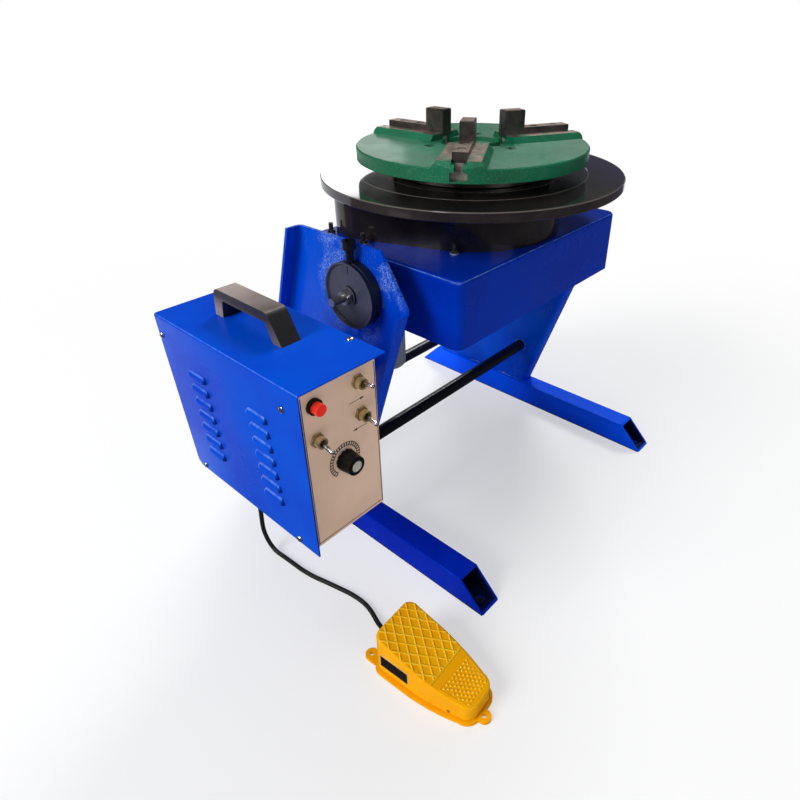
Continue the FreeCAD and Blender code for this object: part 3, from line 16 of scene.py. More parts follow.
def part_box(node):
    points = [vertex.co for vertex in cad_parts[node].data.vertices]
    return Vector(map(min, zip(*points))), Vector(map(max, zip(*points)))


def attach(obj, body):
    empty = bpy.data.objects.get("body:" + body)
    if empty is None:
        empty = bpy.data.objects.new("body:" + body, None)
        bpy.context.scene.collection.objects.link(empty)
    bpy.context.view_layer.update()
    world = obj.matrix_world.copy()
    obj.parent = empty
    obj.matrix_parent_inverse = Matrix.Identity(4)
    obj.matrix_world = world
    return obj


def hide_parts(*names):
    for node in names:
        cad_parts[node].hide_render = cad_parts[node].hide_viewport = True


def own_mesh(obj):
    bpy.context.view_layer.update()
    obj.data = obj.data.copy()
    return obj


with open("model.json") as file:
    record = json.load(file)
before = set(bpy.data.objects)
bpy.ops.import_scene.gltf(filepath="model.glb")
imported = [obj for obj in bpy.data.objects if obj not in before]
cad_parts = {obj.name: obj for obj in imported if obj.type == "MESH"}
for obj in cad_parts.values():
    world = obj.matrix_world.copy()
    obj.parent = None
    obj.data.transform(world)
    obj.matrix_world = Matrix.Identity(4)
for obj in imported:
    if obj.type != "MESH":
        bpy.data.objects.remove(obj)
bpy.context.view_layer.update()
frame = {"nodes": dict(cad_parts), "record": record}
nodes = frame["nodes"]
scene = bpy.context.scene


def put(name, data):
    """Puts a camera, lamp, curve or mesh into the scene as an object."""
    thing = bpy.data.objects.new(name, data)
    scene.collection.objects.link(thing)
    return thing


# %% [markdown]
# ## The camera
# A camera is a place, a direction and a lens. These numbers came from fitting straight edges, such as
# those of the feet and the control box, to the picture that we want to match. The lens is wide for a
# small object, so near parts look larger, and a small shift slides the frame without turning the camera.

# %% Set the camera
camera_data = bpy.data.cameras.new("studio_camera")
camera_data.sensor_width = 36.0
camera_data.lens = 27.707
camera_data.shift_x = -0.05318
camera_data.shift_y = -0.0381
camera_data.clip_start = 0.01
camera = put("studio_camera", camera_data)
camera_place = (-0.66310, -0.52584, 0.67968)
look = Vector((0.64697, 0.56300, -0.51425)).normalized()
roll = math.atan2(0.00154, 0.9999)
level = look.cross(Vector((0, 0, 1))).normalized()
right = (Matrix.Rotation(-roll, 3, look) @ level).normalized()
up = right.cross(look)
camera.matrix_world = Matrix.Translation(camera_place) @ Matrix((right, up, -look)).transposed().to_4x4()
scene.camera = camera
scene.view_settings.view_transform = "Standard"
print("camera looks along", [round(v, 3) for v in look])

# %% [markdown]
# ## The cord from the box to the foot pedal
# A 6 mm rubber cord leaves the gland under the box, hangs down behind the pedal, turns on the floor and
# lies in a loose curve to the pedal's rear. A NURBS curve suits a cord, because it bends smoothly between
# its control points as a real cord does. The order is set after the points are added, so that it holds.

# %% Lay the cord
cord_route = [
    (-0.3690, 0.0460, 0.1940), (-0.3690, 0.0460, 0.1660), (-0.3660, 0.0500, 0.1260),
    (-0.3615, 0.0605, 0.0880), (-0.3575, 0.0710, 0.0580), (-0.3535, 0.0785, 0.0340),
    (-0.3510, 0.0750, 0.0130), (-0.3500, 0.0620, 0.0032), (-0.3485, 0.0450, 0.0030),
    (-0.3474, 0.0270, 0.0030), (-0.3466, 0.0080, 0.0030), (-0.3438, -0.0130, 0.0030),
    (-0.3385, -0.0330, 0.0030), (-0.3335, -0.0540, 0.0030), (-0.3285, -0.0760, 0.0030),
    (-0.3268, -0.0980, 0.0030), (-0.3300, -0.1160, 0.0030), (-0.3370, -0.1335, 0.0045),
    (-0.3416, -0.1500, 0.0090), (-0.340357, -0.165988, 0.0090),
]
cord_diameter = 0.006
cord_curve = bpy.data.curves.new("foot_cord", "CURVE")
cord_curve.dimensions = "3D"
cord_curve.bevel_depth = 1.0
cord_curve.bevel_resolution = 6
cord_curve.resolution_u = 16
cord_curve.use_fill_caps = True
cord_spline = cord_curve.splines.new("NURBS")
cord_spline.points.add(len(cord_route) - 1)
for point, place in zip(cord_spline.points, cord_route):
    point.co = (*place, 1.0)
    point.radius = cord_diameter / 2
cord_spline.order_u = 3
cord_spline.use_endpoint_u = True
cord = put("foot_cord", cord_curve)
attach(cord, "frame")
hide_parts("pedal_cord")
print("cord control points:", len(cord_route))

# %% [markdown]
# ## Short words for nodes
# Paints, lamps and grown shapes are all wired from nodes. The class below wraps one node tree. Each of its
# words adds a node, feeds it with wires or plain values, and gives back the wire that comes out.

# %% The wiring of a node tree
def in_use(sockets, label):
    """A socket by its number, or by its name among those that the node uses now."""
    if isinstance(label, int):
        return sockets[label]
    return next(s for s in sockets if s.name == label and s.enabled)


class Wiring:
    """A node tree, with short words for the nodes of this lesson."""

    def __init__(self, tree):
        tree.nodes.clear()
        self.tree = tree

    def feed(self, socket, value):
        """A socket takes a wire or a plain value. A colour of three numbers gets its fourth."""
        if isinstance(value, bpy.types.NodeSocket):
            self.tree.links.new(value, socket)
        else:
            socket.default_value = (*value, 1) if socket.type == "RGBA" and len(value) == 3 else value

    def add(self, kind, inputs=(), **settings):
        """Adds a node. Its inputs are given in their order, or by name in a dictionary."""
        made = self.tree.nodes.new(kind)
        for name, value in settings.items():
            setattr(made, name, value)
        for label, value in inputs.items() if isinstance(inputs, dict) else enumerate(inputs):
            self.feed(in_use(made.inputs, label), value)
        return made

    def wire(self, kind, inputs=(), out=0, **settings):
        """Adds a node and gives back one of its outputs."""
        return in_use(self.add(kind, inputs, **settings).outputs, out)

    def maths(self, operation, *values):
        """Works out two or more values, one after the other."""
        result = values[0]
        for value in values[1:]:
            result = self.wire("ShaderNodeMath", (result, value), operation=operation)
        return result

    def times(self, *values):
        return self.maths("MULTIPLY", *values)

    def plus(self, *values):
        return self.maths("ADD", *values)

    def largest(self, *values):
        return self.maths("MAXIMUM", *values)

    def unsigned(self, value):
        return self.wire("ShaderNodeMath", (value,), operation="ABSOLUTE")

    def apart(self, first, second):
        return self.unsigned(self.maths("SUBTRACT", first, second))

    def between(self, value, low, high, to_low=0.0, to_high=1.0):
        """Stretches a value: low becomes to_low and high becomes to_high."""
        ends = {"Value": value, "From Min": low, "From Max": high, "To Min": to_low, "To Max": to_high}
        return self.wire("ShaderNodeMapRange", ends)

    def blend(self, share, first, second):
        """Mixes two colours."""
        inputs = {"Factor": share, "A": first, "B": second}
        return self.wire("ShaderNodeMix", inputs, "Result", data_type="RGBA")

    def xyz(self, vector):
        return list(self.add("ShaderNodeSeparateXYZ", (vector,)).outputs)

    def scaled(self, vector, factors):
        return self.wire("ShaderNodeVectorMath", (vector, factors), operation="MULTIPLY")

    def noise(self, scale, detail=3.0, roughness=0.5, place=None):
        inputs = {"Vector": place or self.place, "Scale": scale, "Detail": detail, "Roughness": roughness}
        return self.wire("ShaderNodeTexNoise", inputs)

    def spots(self, scale, detail, low, high, to_low=0.0, to_high=1.0, roughness=0.5):
        """Noise that is stretched until it leaves clear spots."""
        return self.between(self.noise(scale, detail, roughness), low, high, to_low, to_high)

    def off_axis(self, keep, centre=(0, 0, 0)):
        """How far a point lies from an axis. The 0 in keep stands for the axis's own direction."""
        ends = (self.scaled(self.place, keep), centre)
        return self.wire("ShaderNodeVectorMath", ends, "Value", operation="DISTANCE")

    def lit(self, kind, colour, strength=None):
        """A plain shader of one colour, for the floor and the world."""
        inputs = {"Color": colour} if strength is None else {"Color": colour, "Strength": strength}
        return self.wire("ShaderNode" + kind, inputs)

    def mix(self, share, first, second):
        """Mixes two shaders."""
        return self.wire("ShaderNodeMixShader", (share, first, second))


def plain_mesh(name, points, edges=(), faces=()):
    mesh = bpy.data.meshes.new(name)
    mesh.from_pydata([tuple(p) for p in points], list(edges), list(faces))
    return mesh


# %% [markdown]
# ## The studio
# The positioner stands on a white floor in an even light. The camera sees both floor and world as white,
# but glossy paint sees them darker, so that the lamps shape the paint and the background stays white. The
# floor is matt near the feet, where it holds their shadow, and glows more and more further out. Under the
# feet its colour is painted near black, a painted shadow that the holes in the feet show. Large area lamps
# give the soft edges of big workshop windows: the brightest stands to the left, and a low one behind makes
# the table's rim shine.

# %% The floor
floor_half = 6.0
square = [(-1, -1), (1, -1), (1, 1), (-1, 1)]
corners = [(x * floor_half, y * floor_half, 0) for x, y in square]
floor_mesh = plain_mesh("studio_floor", corners, faces=[(0, 1, 2, 3)])
floor = put("studio_floor", floor_mesh)
floor.location.z = -0.0002

foot_low, foot_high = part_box("foot_right")
tube_middle = (foot_low.x + foot_high.x) / 2
tube_half = (foot_high.x - foot_low.x) / 2
tube_height = foot_high.z
tube_wall = 0.003
foot_margin = 0.001
floor_paint = bpy.data.materials.new("studio_floor")
floor_paint.use_nodes = True
ground = Wiring(floor_paint.node_tree)
ground.place = ground.wire("ShaderNodeTexCoord", out="Object")
ray = ground.add("ShaderNodeLightPath").outputs
across, deep, _ = ground.xyz(ground.place)
beyond_ends = ground.largest(ground.maths("LESS_THAN", deep, foot_low.y + foot_margin),
                             ground.maths("GREATER_THAN", deep, foot_high.y - foot_margin))
off_tube = ground.apart(ground.unsigned(across), tube_middle)
beside_feet = ground.largest(ground.maths("GREATER_THAN", off_tube, tube_half), beyond_ends)
glow = ground.between(ground.off_axis((1, 1, 0)), 0.5, 1.5, to_low=0.5)
glow_share = ground.times(glow, beside_feet, ray["Is Camera Ray"])
# Glossy rays see the floor glow near white, a painted reflection in the paint, except in a band in front and
# one behind, where it is dark.
slant = ground.plus(ground.times(across, 2.34), deep)
dark_front = ground.between(slant, -0.97, -0.92, 0.95, 0.0)
dark_back = ground.between(deep, 0.15, 0.30, 0.95, 0.0)
reflected = ground.mix(ground.largest(dark_front, dark_back), ground.lit("Emission", (0.9, 0.93, 1.0), 0.9),
                       ground.lit("BsdfDiffuse", (0.05, 0.05, 0.06)))
# Painted shadow: under the feet the floor's colour is near black, and the holes in the feet show it.
matt = ground.lit("BsdfDiffuse", ground.blend(beside_feet, (0.02, 0.02, 0.03), (0.9, 0.9, 0.9)))
seen = ground.mix(ray["Is Glossy Ray"], matt, reflected)
white = ground.lit("Emission", (1, 1, 1), 1.0)
ground.add("ShaderNodeOutputMaterial", {"Surface": ground.mix(glow_share, seen, white)})
floor_mesh.materials.append(floor_paint)
print("floor:", floor_half * 2, "m wide")

# %% World and lamps
world = bpy.data.worlds.new("studio_world")
scene.world = world
world.use_nodes = True
sky = Wiring(world.node_tree)
ray = sky.add("ShaderNodeLightPath").outputs
light = sky.lit("Background", (0.92, 0.95, 1.0), sky.between(ray["Is Glossy Ray"], 0.0, 1.0, 0.2, 0.07))
backdrop = sky.lit("Background", (1, 1, 1), 1.0)
sky.add("ShaderNodeOutputWorld", {"Surface": sky.mix(ray["Is Camera Ray"], light, backdrop)})

middle = (-0.05, 0.0, 0.3)
lamps = [  # name, place, target, width and height, watts, colour
    ("window_left", (-4.2, 0.9, 2.9), middle, (2.4, 2.4), 190, (1.0, 0.99, 0.97)),
    ("window_front", (-0.7, -3.8, 1.9), middle, (2.0, 1.2), 23, (0.98, 0.99, 1.0)),
    ("window_right", (2.4, 1.0, 3.2), (0.15, 0.0, 0.1), (1.4, 1.2), 85, (1, 1, 1)),
    ("far_window", (2.1, 2.75, 1.2), (-0.1, 0.0, 0.5), (0.8, 0.5), 3.6, (1, 1, 1)),
    ("ceiling", (-0.5, 0.2, 3.2), (-0.2, 0.0, 0.0), (1.2, 1.2), 10, (1, 1, 1)),
]
for name, place, target, (width, height), watts, colour in lamps:
    data = bpy.data.lights.new(name, "AREA")
    data.shape = "RECTANGLE"
    data.size, data.size_y = width, height
    data.energy = watts
    data.color = colour
    lamp = put(name, data)
    lamp.location = place
    lamp.rotation_euler = (Vector(target) - Vector(place)).to_track_quat("-Z", "Y").to_euler()
    print(name, "at", place, watts, "W")

# %% [markdown]
# ## Shared shader effects
# Painted steel, castings and turned metal share a few effects: colour that drifts a little from place to
# place, dust, fine scratches, the skin of sprayed paint, and rings left by a lathe. Each one is a node
# group with named inputs, built once. A group puts out colours, masks and heights only. The shader itself
# stays in the material, where the exporter can read it.

# %% Start a group
def kind_of(value):
    return "Float" if isinstance(value, float) else {3: "Vector", 4: "Color"}[len(value)]


class Group(Wiring):
    """A node group. Every socket is named with its first value, or with its kind where it has none."""

    def __init__(self, name, inputs, outputs, family="ShaderNodeTree"):
        super().__init__(bpy.data.node_groups.new(name, family))
        for way, sockets in (("INPUT", inputs), ("OUTPUT", outputs)):
            for label, value in sockets.items():
                kind = value if isinstance(value, str) else kind_of(value)
                socket = self.tree.interface.new_socket(label, in_out=way, socket_type="NodeSocket" + kind)
                if kind != value:
                    socket.default_value = value
        self.enter = self.tree.nodes.new("NodeGroupInput").outputs
        self.leave = self.tree.nodes.new("NodeGroupOutput").inputs
        self.place = self.enter.get("Place")

    def give(self, **outputs):
        for label, value in outputs.items():
            self.feed(self.leave[label], value)
        print("group", self.tree.name)


# %% [markdown]
# ### Sprayed enamel
# Brushed or sprayed enamel is never one colour. Broad clouds shift it towards a deeper shade, thin dust
# greys it and dulls its gloss, and its skin has a very low orange-peel relief.

# %% Build the enamel group
enamel = Group(
    "sprayed_enamel",
    {"Place": "Vector", "Colour": (0.0, 0.1, 0.6, 1), "Deep Colour": (0.0, 0.05, 0.4, 1), "Cloud Scale": 9.0,
     "Peel Scale": 420.0, "Dust": 0.12, "Gloss Low": 0.16, "Gloss High": 0.34},
    {"Colour": "Color", "Roughness": "Float", "Height": "Float"},
)
dust_grey = (0.42, 0.44, 0.5)
given = enamel.enter
clouds = enamel.spots(given["Cloud Scale"], 3.0, 0.36, 0.64)
tint = enamel.blend(clouds, given["Colour"], given["Deep Colour"])
dust = enamel.times(enamel.spots(55.0, 8.0, 0.56, 0.78, roughness=0.72), given["Dust"])
gloss = enamel.between(clouds, 0.0, 1.0, given["Gloss Low"], given["Gloss High"])
peel = enamel.noise(given["Peel Scale"], 2.0)
ripple = enamel.noise(60.0, 2.0)
enamel.give(Colour=enamel.blend(dust, tint, dust_grey),
            Roughness=enamel.plus(gloss, enamel.times(dust, 0.8)),
            Height=enamel.plus(peel, enamel.times(ripple, 1.5)))

# %% [markdown]
# ### Fine scratches
# Handling leaves thin bright hairs in the paint. Noise that is stretched a lot along one direction has
# long narrow level lines, and a narrow window on its value keeps only those lines.

# %% Build the scratch group
hairs = Group(
    "hair_scratches",
    {"Place": "Vector", "Stretch": (1.0, 12.0, 12.0), "Scale": 22.0, "Width": 0.012},
    {"Mask": "Float"},
)
given = hairs.enter
stretched = hairs.scaled(given["Place"], given["Stretch"])
level_lines = hairs.apart(hairs.noise(given["Scale"], 2.0, place=stretched), 0.5)
hair = hairs.between(level_lines, 0.0, given["Width"], 1.0, 0.0)
hairs.give(Mask=hairs.times(hair, hairs.spots(14.0, 4.0, 0.5, 0.58)))

# %% [markdown]
# ### Lathe rings
# A turned face keeps fine rings round its axis. One-dimensional noise that is read by the distance from
# the axis gives rings of uneven depth, which look more real than an even wave.

# %% Build the lathe group
lathe = Group("lathe_rings", {"Place": "Vector", "Rings Per Metre": 900.0},
              {"Height": "Float", "Tone": "Float"})
ring_count = lathe.times(lathe.off_axis((1, 1, 0)), lathe.enter["Rings Per Metre"])
rings = lathe.wire("ShaderNodeTexNoise", {"W": ring_count, "Scale": 1.0, "Detail": 3.0}, noise_dimensions="1D")
lathe.give(Height=rings, Tone=lathe.between(rings, 0.35, 0.65))

# %% [markdown]
# ### Machined tops
# Some faces of a painted casting are milled bare. They all look up and lie above a known height, so a
# mask from the object's own normal and height finds them. It keeps its place when the part tilts,
# because both are measured on the part and not in the room.

# %% Build the mask for milled faces
milled = Group("milled_tops", {"Place": "Vector", "Facing": "Vector", "Above": 0.527}, {"Mask": "Float"})
high_enough = milled.maths("GREATER_THAN", milled.xyz(milled.place)[2], milled.enter["Above"])
looks_up = milled.maths("GREATER_THAN", milled.xyz(milled.enter["Facing"])[2], 0.9)
milled.give(Mask=milled.times(high_enough, looks_up))

# %% [markdown]
# ### Painted highlights on bends
# Bent sheet metal catches a line of light along each bend, and that light is painted into the colour as a
# painted highlight. On a box-shaped part a flat face looks straight along one axis, and only a bend looks
# between them. The largest part of the normal tells the two apart. Only bends that look up get the painted
# highlight, and noise breaks the line up a little.

# %% Build the mask for painted bend highlights
bends = Group("polished_bends", {"Place": "Vector", "Facing": "Vector", "Strength": 0.6}, {"Mask": "Float"})
facing = bends.xyz(bends.enter["Facing"])
straight = bends.largest(*[bends.unsigned(part) for part in facing])
between_axes = bends.between(straight, 0.82, 0.74)
upward = bends.between(facing[2], 0.2, 0.4)
broken = bends.spots(120.0, 5.0, 0.38, 0.6, to_low=0.25, roughness=0.7)
bends.give(Mask=bends.times(between_axes, upward, broken, bends.enter["Strength"]))

# %% [markdown]
# ## Finishes
# A material takes what its groups put out and feeds it to one Principled shader. The numbers that are
# the same all over, such as metallic or coat, are set on the shader's own sockets.

# %% Helpers for finishes
finishes = {}


class Finish(Wiring):
    """A material with one Principled shader, kept under its slot's name in finishes."""

    def __init__(self, slot, name, **constants):
        material = bpy.data.materials.new(name)
        material.use_nodes = True
        super().__init__(material.node_tree)
        self.shader = self.add("ShaderNodeBsdfPrincipled")
        self.add("ShaderNodeOutputMaterial", {"Surface": self.shader.outputs[0]})
        piece = self.add("ShaderNodeTexCoord").outputs
        self.place, self.facing = piece["Object"], piece["Normal"]
        self.take(**constants)
        finishes[slot] = material

    def take(self, **inputs):
        """Feeds the shader."""
        for label, value in inputs.items():
            self.feed(self.shader.inputs[label.replace("_", " ")], value)

    def relief(self, height, strength, depth):
        """Feeds a height to the shader's normal; depth is in metres."""
        inputs = {"Height": height, "Strength": strength, "Distance": depth}
        self.take(Normal=self.wire("ShaderNodeBump", inputs))

    def group(self, group, **values):
        """Places a group on the piece's own coordinates."""
        named = {label.replace("_", " "): value for label, value in values.items()}
        return self.add("ShaderNodeGroup", {"Place": self.place, **named}, node_tree=group.tree).outputs

    def stain(self, scale, detail, low, high, roughness, coarse=0.5):
        """Spots that also make the surface smoother or rougher."""
        spots = self.spots(scale, detail, low, high, roughness=coarse)
        self.take(Roughness=self.between(spots, 0.0, 1.0, *roughness))
        return spots

    def milled_mask(self, above):
        return self.group(milled, Facing=self.facing, Above=above)["Mask"]


scratched_blue = (0.3, 0.42, 0.8)
bend_highlight_blue = (0.22, 0.4, 0.9)


def paint(slot, name, colour, deep, dust=0.12, scratch=0.0, gloss=(0.16, 0.3), peel=0.00004, coat=0.03,
          cloud=9.0, tint=(1, 1, 1), specular=0.15, bend=0.0, extra=None):
    """Enamel, with scratches, painted highlights on bends or an effect of its own where asked."""
    made = Finish(slot, name, Coat_Weight=coat, Coat_Roughness=0.06, Specular_IOR_Level=specular,
                  Specular_Tint=tint)
    skin = made.group(enamel, Colour=colour, Deep_Colour=deep, Dust=dust, Gloss_Low=gloss[0],
                      Gloss_High=gloss[1], Cloud_Scale=cloud)
    shade = skin["Colour"]
    if scratch:
        marks = made.group(hairs, Stretch=(3.0, 14.0, 1.6))["Mask"]
        shade = made.blend(made.times(marks, scratch), shade, scratched_blue)
    # Painted highlight: bends that look up are lightened towards a pale blue.
    if bend:
        rims = made.group(bends, Facing=made.facing, Strength=bend)["Mask"]
        shade = made.blend(rims, shade, bend_highlight_blue)
    if extra:
        shade = extra(made, shade)
    made.take(Base_Color=shade, Roughness=skin["Roughness"])
    made.relief(skin["Height"], 0.5, peel)
    return made


def metal(slot, name, colour, deep, roughness=(0.2, 0.36), turned=True, grain=600.0, metallic=1.0,
          depth=0.00004):
    """Bare metal: either turned, with rings, or plain, with a fine grain."""
    made = Finish(slot, name, Metallic=metallic)
    if turned:
        marks = made.group(lathe, Rings_Per_Metre=grain)
        tone, height = marks["Tone"], marks["Height"]
    else:
        tone, height = made.spots(40.0, 5.0, 0.35, 0.65), made.noise(grain, 4.0)
    smudge = made.spots(26.0, 5.0, 0.3, 0.7)
    worn = made.between(made.plus(smudge, tone), 0.0, 2.0, *roughness)
    made.take(Base_Color=made.blend(smudge, colour, deep), Roughness=worn)
    made.relief(height, 0.4, depth)


# %% [markdown]
# ### Paints
# The frame, tray and box wear a saturated cobalt enamel, the clamp wheel and cross bars a black one, and
# the pedal a warm yellow. Some parts get painted light of their own: the box's louvres take painted shade at
# one end and a painted highlight at the other, the side plates round the wheel take painted glints, and the
# wheel's rim and lower face are painted near black as shade.

# %% Mix the paints
def louvre_ends(made, shade):
    """The louvres' rounded front ends lie in shadow and their rear ends catch the window."""
    rearward = made.xyz(made.facing)[1]
    below_top = made.between(made.xyz(made.place)[2], 0.380, 0.376)
    in_shadow = made.times(made.between(rearward, -0.2, -0.45, to_high=0.85), below_top)
    in_light = made.times(made.between(rearward, 0.3, 0.5, to_high=0.8), below_top)
    return made.blend(in_light, made.blend(in_shadow, shade, (0.0003, 0.012, 0.13)), (0.4, 0.62, 1.0))


def painted_glints_near_wheel(made, shade):
    """Painted glints: the plate round the clamp wheel is lightened in patches of fine pale sparkle."""
    near_wheel = made.between(made.off_axis((0, 1, 1), (0, -0.005, 0.395)), 0.092, 0.06)
    patches = made.spots(34.0, 3.0, 0.5, 0.62)
    sparkle = made.spots(620.0, 3.0, 0.46, 0.62, roughness=0.7)
    return made.blend(made.times(near_wheel, patches, sparkle, 0.6), shade, (0.34, 0.55, 0.95))


def wheel_painted_shade(made, shade):
    """Painted shade: the clamp wheel's rim and the lower half of its face are painted near black."""
    on_rim = made.between(made.unsigned(made.xyz(made.facing)[0]), 0.6, 0.3)
    low = made.between(made.xyz(made.place)[2], 0.378, 0.348, to_high=0.85)
    black = (0.005, 0.005, 0.009)
    return made.blend(on_rim, made.blend(low, shade, black), black)


cobalt, deep_cobalt = (0.0003, 0.075, 0.62), (0.0003, 0.048, 0.54)
blue_glint = (0.05, 0.4, 1.0)
paint("blue_paint", "cobalt_enamel", cobalt, deep_cobalt, dust=0.02, tint=blue_glint)
paint("blue_folded", "folded_cobalt_enamel", cobalt, deep_cobalt, dust=0.015, tint=blue_glint, bend=0.55,
      extra=louvre_ends)
# The tray's deeper blue is painted shade, for the table's shadow over it.
paint("blue_tray", "shaded_cobalt_enamel", (0.0003, 0.033, 0.44), (0.0003, 0.025, 0.37), dust=0.01,
      tint=blue_glint, bend=0.6)
paint("blue_plate", "scratched_cobalt_enamel", cobalt, deep_cobalt, dust=0.02, scratch=0.22, tint=blue_glint,
      extra=painted_glints_near_wheel)
paint("black_wheel", "black_wheel_enamel", (0.042, 0.042, 0.07), (0.065, 0.065, 0.105), dust=0.08,
      scratch=0.08, gloss=(0.24, 0.42), specular=0.4, extra=wheel_painted_shade)
# The dust share here is so high that its pale spots stand for painted glints on the beads.
paint("weld_paint", "weld_enamel", (0.002, 0.09, 0.66), (0.0003, 0.05, 0.5), dust=1.2, gloss=(0.12, 0.2),
      cloud=60.0, specular=0.5)
paint("bar_black", "black_bar_enamel", (0.004, 0.004, 0.005), (0.008, 0.008, 0.01), dust=0.02,
      gloss=(0.2, 0.3), specular=0.3)
paint("yellow_paint", "pedal_enamel", (1.0, 0.47, 0.002), (0.97, 0.41, 0.002), dust=0.02, gloss=(0.26, 0.4),
      coat=0.1, cloud=22.0, tint=(1.0, 0.75, 0.3))
# The raised ribs and domes take a lighter yellow than the pedal, a painted highlight of the same enamel.
paint("yellow_ribs", "raised_pedal_enamel", (1.0, 0.6, 0.02), (1.0, 0.52, 0.008), dust=0.02, gloss=(0.2, 0.3),
      coat=0.3, cloud=40.0, tint=(1.0, 0.85, 0.5), specular=0.6)
paint("grey_metal", "grey_enamel", (0.22, 0.23, 0.25), (0.16, 0.17, 0.18), dust=0.15, gloss=(0.3, 0.5))
paint("panel_metal", "panel_lacquer", (0.86, 0.605, 0.45), (0.74, 0.51, 0.38), dust=0.04, gloss=(0.34, 0.5),
      coat=0.1, cloud=11.0)
print("paints:", sorted(finishes))

# %% [markdown]
# ### Feet with dark insides
# The inside of a tube lies in shade, and that shade is painted into its colour. The walls are 3 mm thick, so
# every point that lies deeper than that, measured from the middle of the tube, belongs to the inside and is
# painted near black as painted shade. The right foot stands in the light, so it is painted a brighter blue as
# painted light, and the left one a deeper blue as painted shade.

# %% Paint the feet, with painted shade inside
tube = Finish("blue_tube", "tube_enamel", Coat_Weight=0.03, Coat_Roughness=0.06, Specular_IOR_Level=0.15,
              Specular_Tint=blue_glint)
across, _, height = tube.xyz(tube.place)
# Painted light and shade: the right foot takes a brighter blue, as lit, and the left a deeper one, as shaded.
painted_light_right_foot = tube.maths("GREATER_THAN", across, 0.0)
skin = tube.group(enamel, Colour=tube.blend(painted_light_right_foot, (0.0003, 0.026, 0.52), (0.0003, 0.1, 0.98)),
                  Deep_Colour=tube.blend(painted_light_right_foot, (0.0003, 0.016, 0.42), (0.0003, 0.075, 0.9)),
                  Dust=0.02, Gloss_Low=0.16, Gloss_High=0.3)
marks = tube.group(hairs, Stretch=(12.0, 1.0, 12.0))["Mask"]
scratched = tube.blend(tube.times(marks, 0.08), skin["Colour"], (0.6, 0.66, 0.78))
off_middle = tube.apart(tube.unsigned(across), tube_middle)
off_centre = tube.apart(height, tube_height / 2)
# Painted shade: points inside the tube's walls take a near-black colour.
inside = tube.times(*[
    tube.between(off, half - tube_wall + 0.0004, half - tube_wall + 0.0001)
    for off, half in ((off_middle, tube_half), (off_centre, tube_height / 2))
])
tube.take(Base_Color=tube.blend(inside, scratched, (0.001, 0.003, 0.03)),
          Roughness=tube.plus(skin["Roughness"], tube.times(inside, 0.4)))
tube.relief(skin["Height"], 0.5, 0.00004)
print("feet painted, walls of", tube_wall, "m")

# %% [markdown]
# ### Metals and plastics
# Castings and the gear housing are blackened or plain, small fasteners are zinc plated, and the switch
# bushes are brass. The speed knob's cap is a pale disc with a black rim. The plastics are black with a
# fine moulded grain, and the lamp's lens glows a little, because it is lit.

# %% Make the metals and plastics
metal("black_oxide", "black_oxide", (0.02, 0.016, 0.022), (0.045, 0.036, 0.036), (0.06, 0.17), grain=1100.0,
      metallic=0.5, depth=0.00001)
metal("turned_steel", "turned_steel", (0.5, 0.5, 0.51), (0.36, 0.35, 0.34))
metal("bright_steel", "zinc_plate", (0.62, 0.62, 0.6), (0.5, 0.5, 0.5), (0.16, 0.3), turned=False)
metal("brass", "nickelled_brass", (0.86, 0.68, 0.38), (0.5, 0.37, 0.18), (0.14, 0.26), turned=False,
      metallic=0.75)
metal("silver_cap", "spun_cap", (0.66, 0.66, 0.54), (0.5, 0.5, 0.41), (0.3, 0.42), turned=False, metallic=0.3)
metal("slider_steel", "slider_steel", (0.5, 0.46, 0.4), (0.3, 0.27, 0.24), turned=False, metallic=0.35)
metal("grey_cast", "cast_aluminium", (0.4, 0.41, 0.42), (0.3, 0.31, 0.32), (0.4, 0.6), turned=False,
      grain=260.0, depth=0.0002)
paint("black_plastic", "moulded_black", (0.006, 0.006, 0.006), (0.012, 0.011, 0.011), dust=0.06,
      gloss=(0.34, 0.5), peel=0.0001, coat=0.0)
paint("cord_rubber", "cord_rubber", (0.012, 0.012, 0.012), (0.022, 0.02, 0.018), dust=0.14,
      gloss=(0.38, 0.55), coat=0.0, cloud=60.0)
paint("electrics", "board_and_winding", (0.02, 0.16, 0.07), (0.16, 0.1, 0.04), gloss=(0.4, 0.6), coat=0.0,
      cloud=40.0)
lens = paint("red_lens", "lit_red_lens", (0.88, 0.035, 0.015), (0.7, 0.02, 0.01), dust=0.02, gloss=(0.1, 0.2),
             coat=0.4)
lens.take(Emission_Color=(0.9, 0.045, 0.02), Emission_Strength=0.1)

knob_x, knob_z = -0.371, 0.2963
cap = Finish("knob_disc", "knob_cap_disc", Metallic=0.3)
brushed = cap.stain(500.0, 4.0, 0.35, 0.65, (0.3, 0.42))
on_rim = cap.between(cap.off_axis((1, 0, 1), (knob_x, 0, knob_z)), 0.0056, 0.0060)
pale = cap.blend(brushed, (0.72, 0.72, 0.6), (0.5, 0.5, 0.41))
cap.take(Base_Color=cap.blend(on_rim, pale, (0.006, 0.006, 0.006)))
print("finishes:", len(finishes))

# %% [markdown]
# ### Grip, levers and table face
# The grip's top is grey, lighter towards the rear, and the outer sides of its legs take the same grey as
# painted light from the left. The switch levers are bright only at their tips. The table's face shows two thin
# bright rings and a painted highlight along its rim, and its right part takes a painted navy reflection. All
# three need a mask that is measured on the part: a height, a depth in front of the panel, and a distance
# from the table's axis.

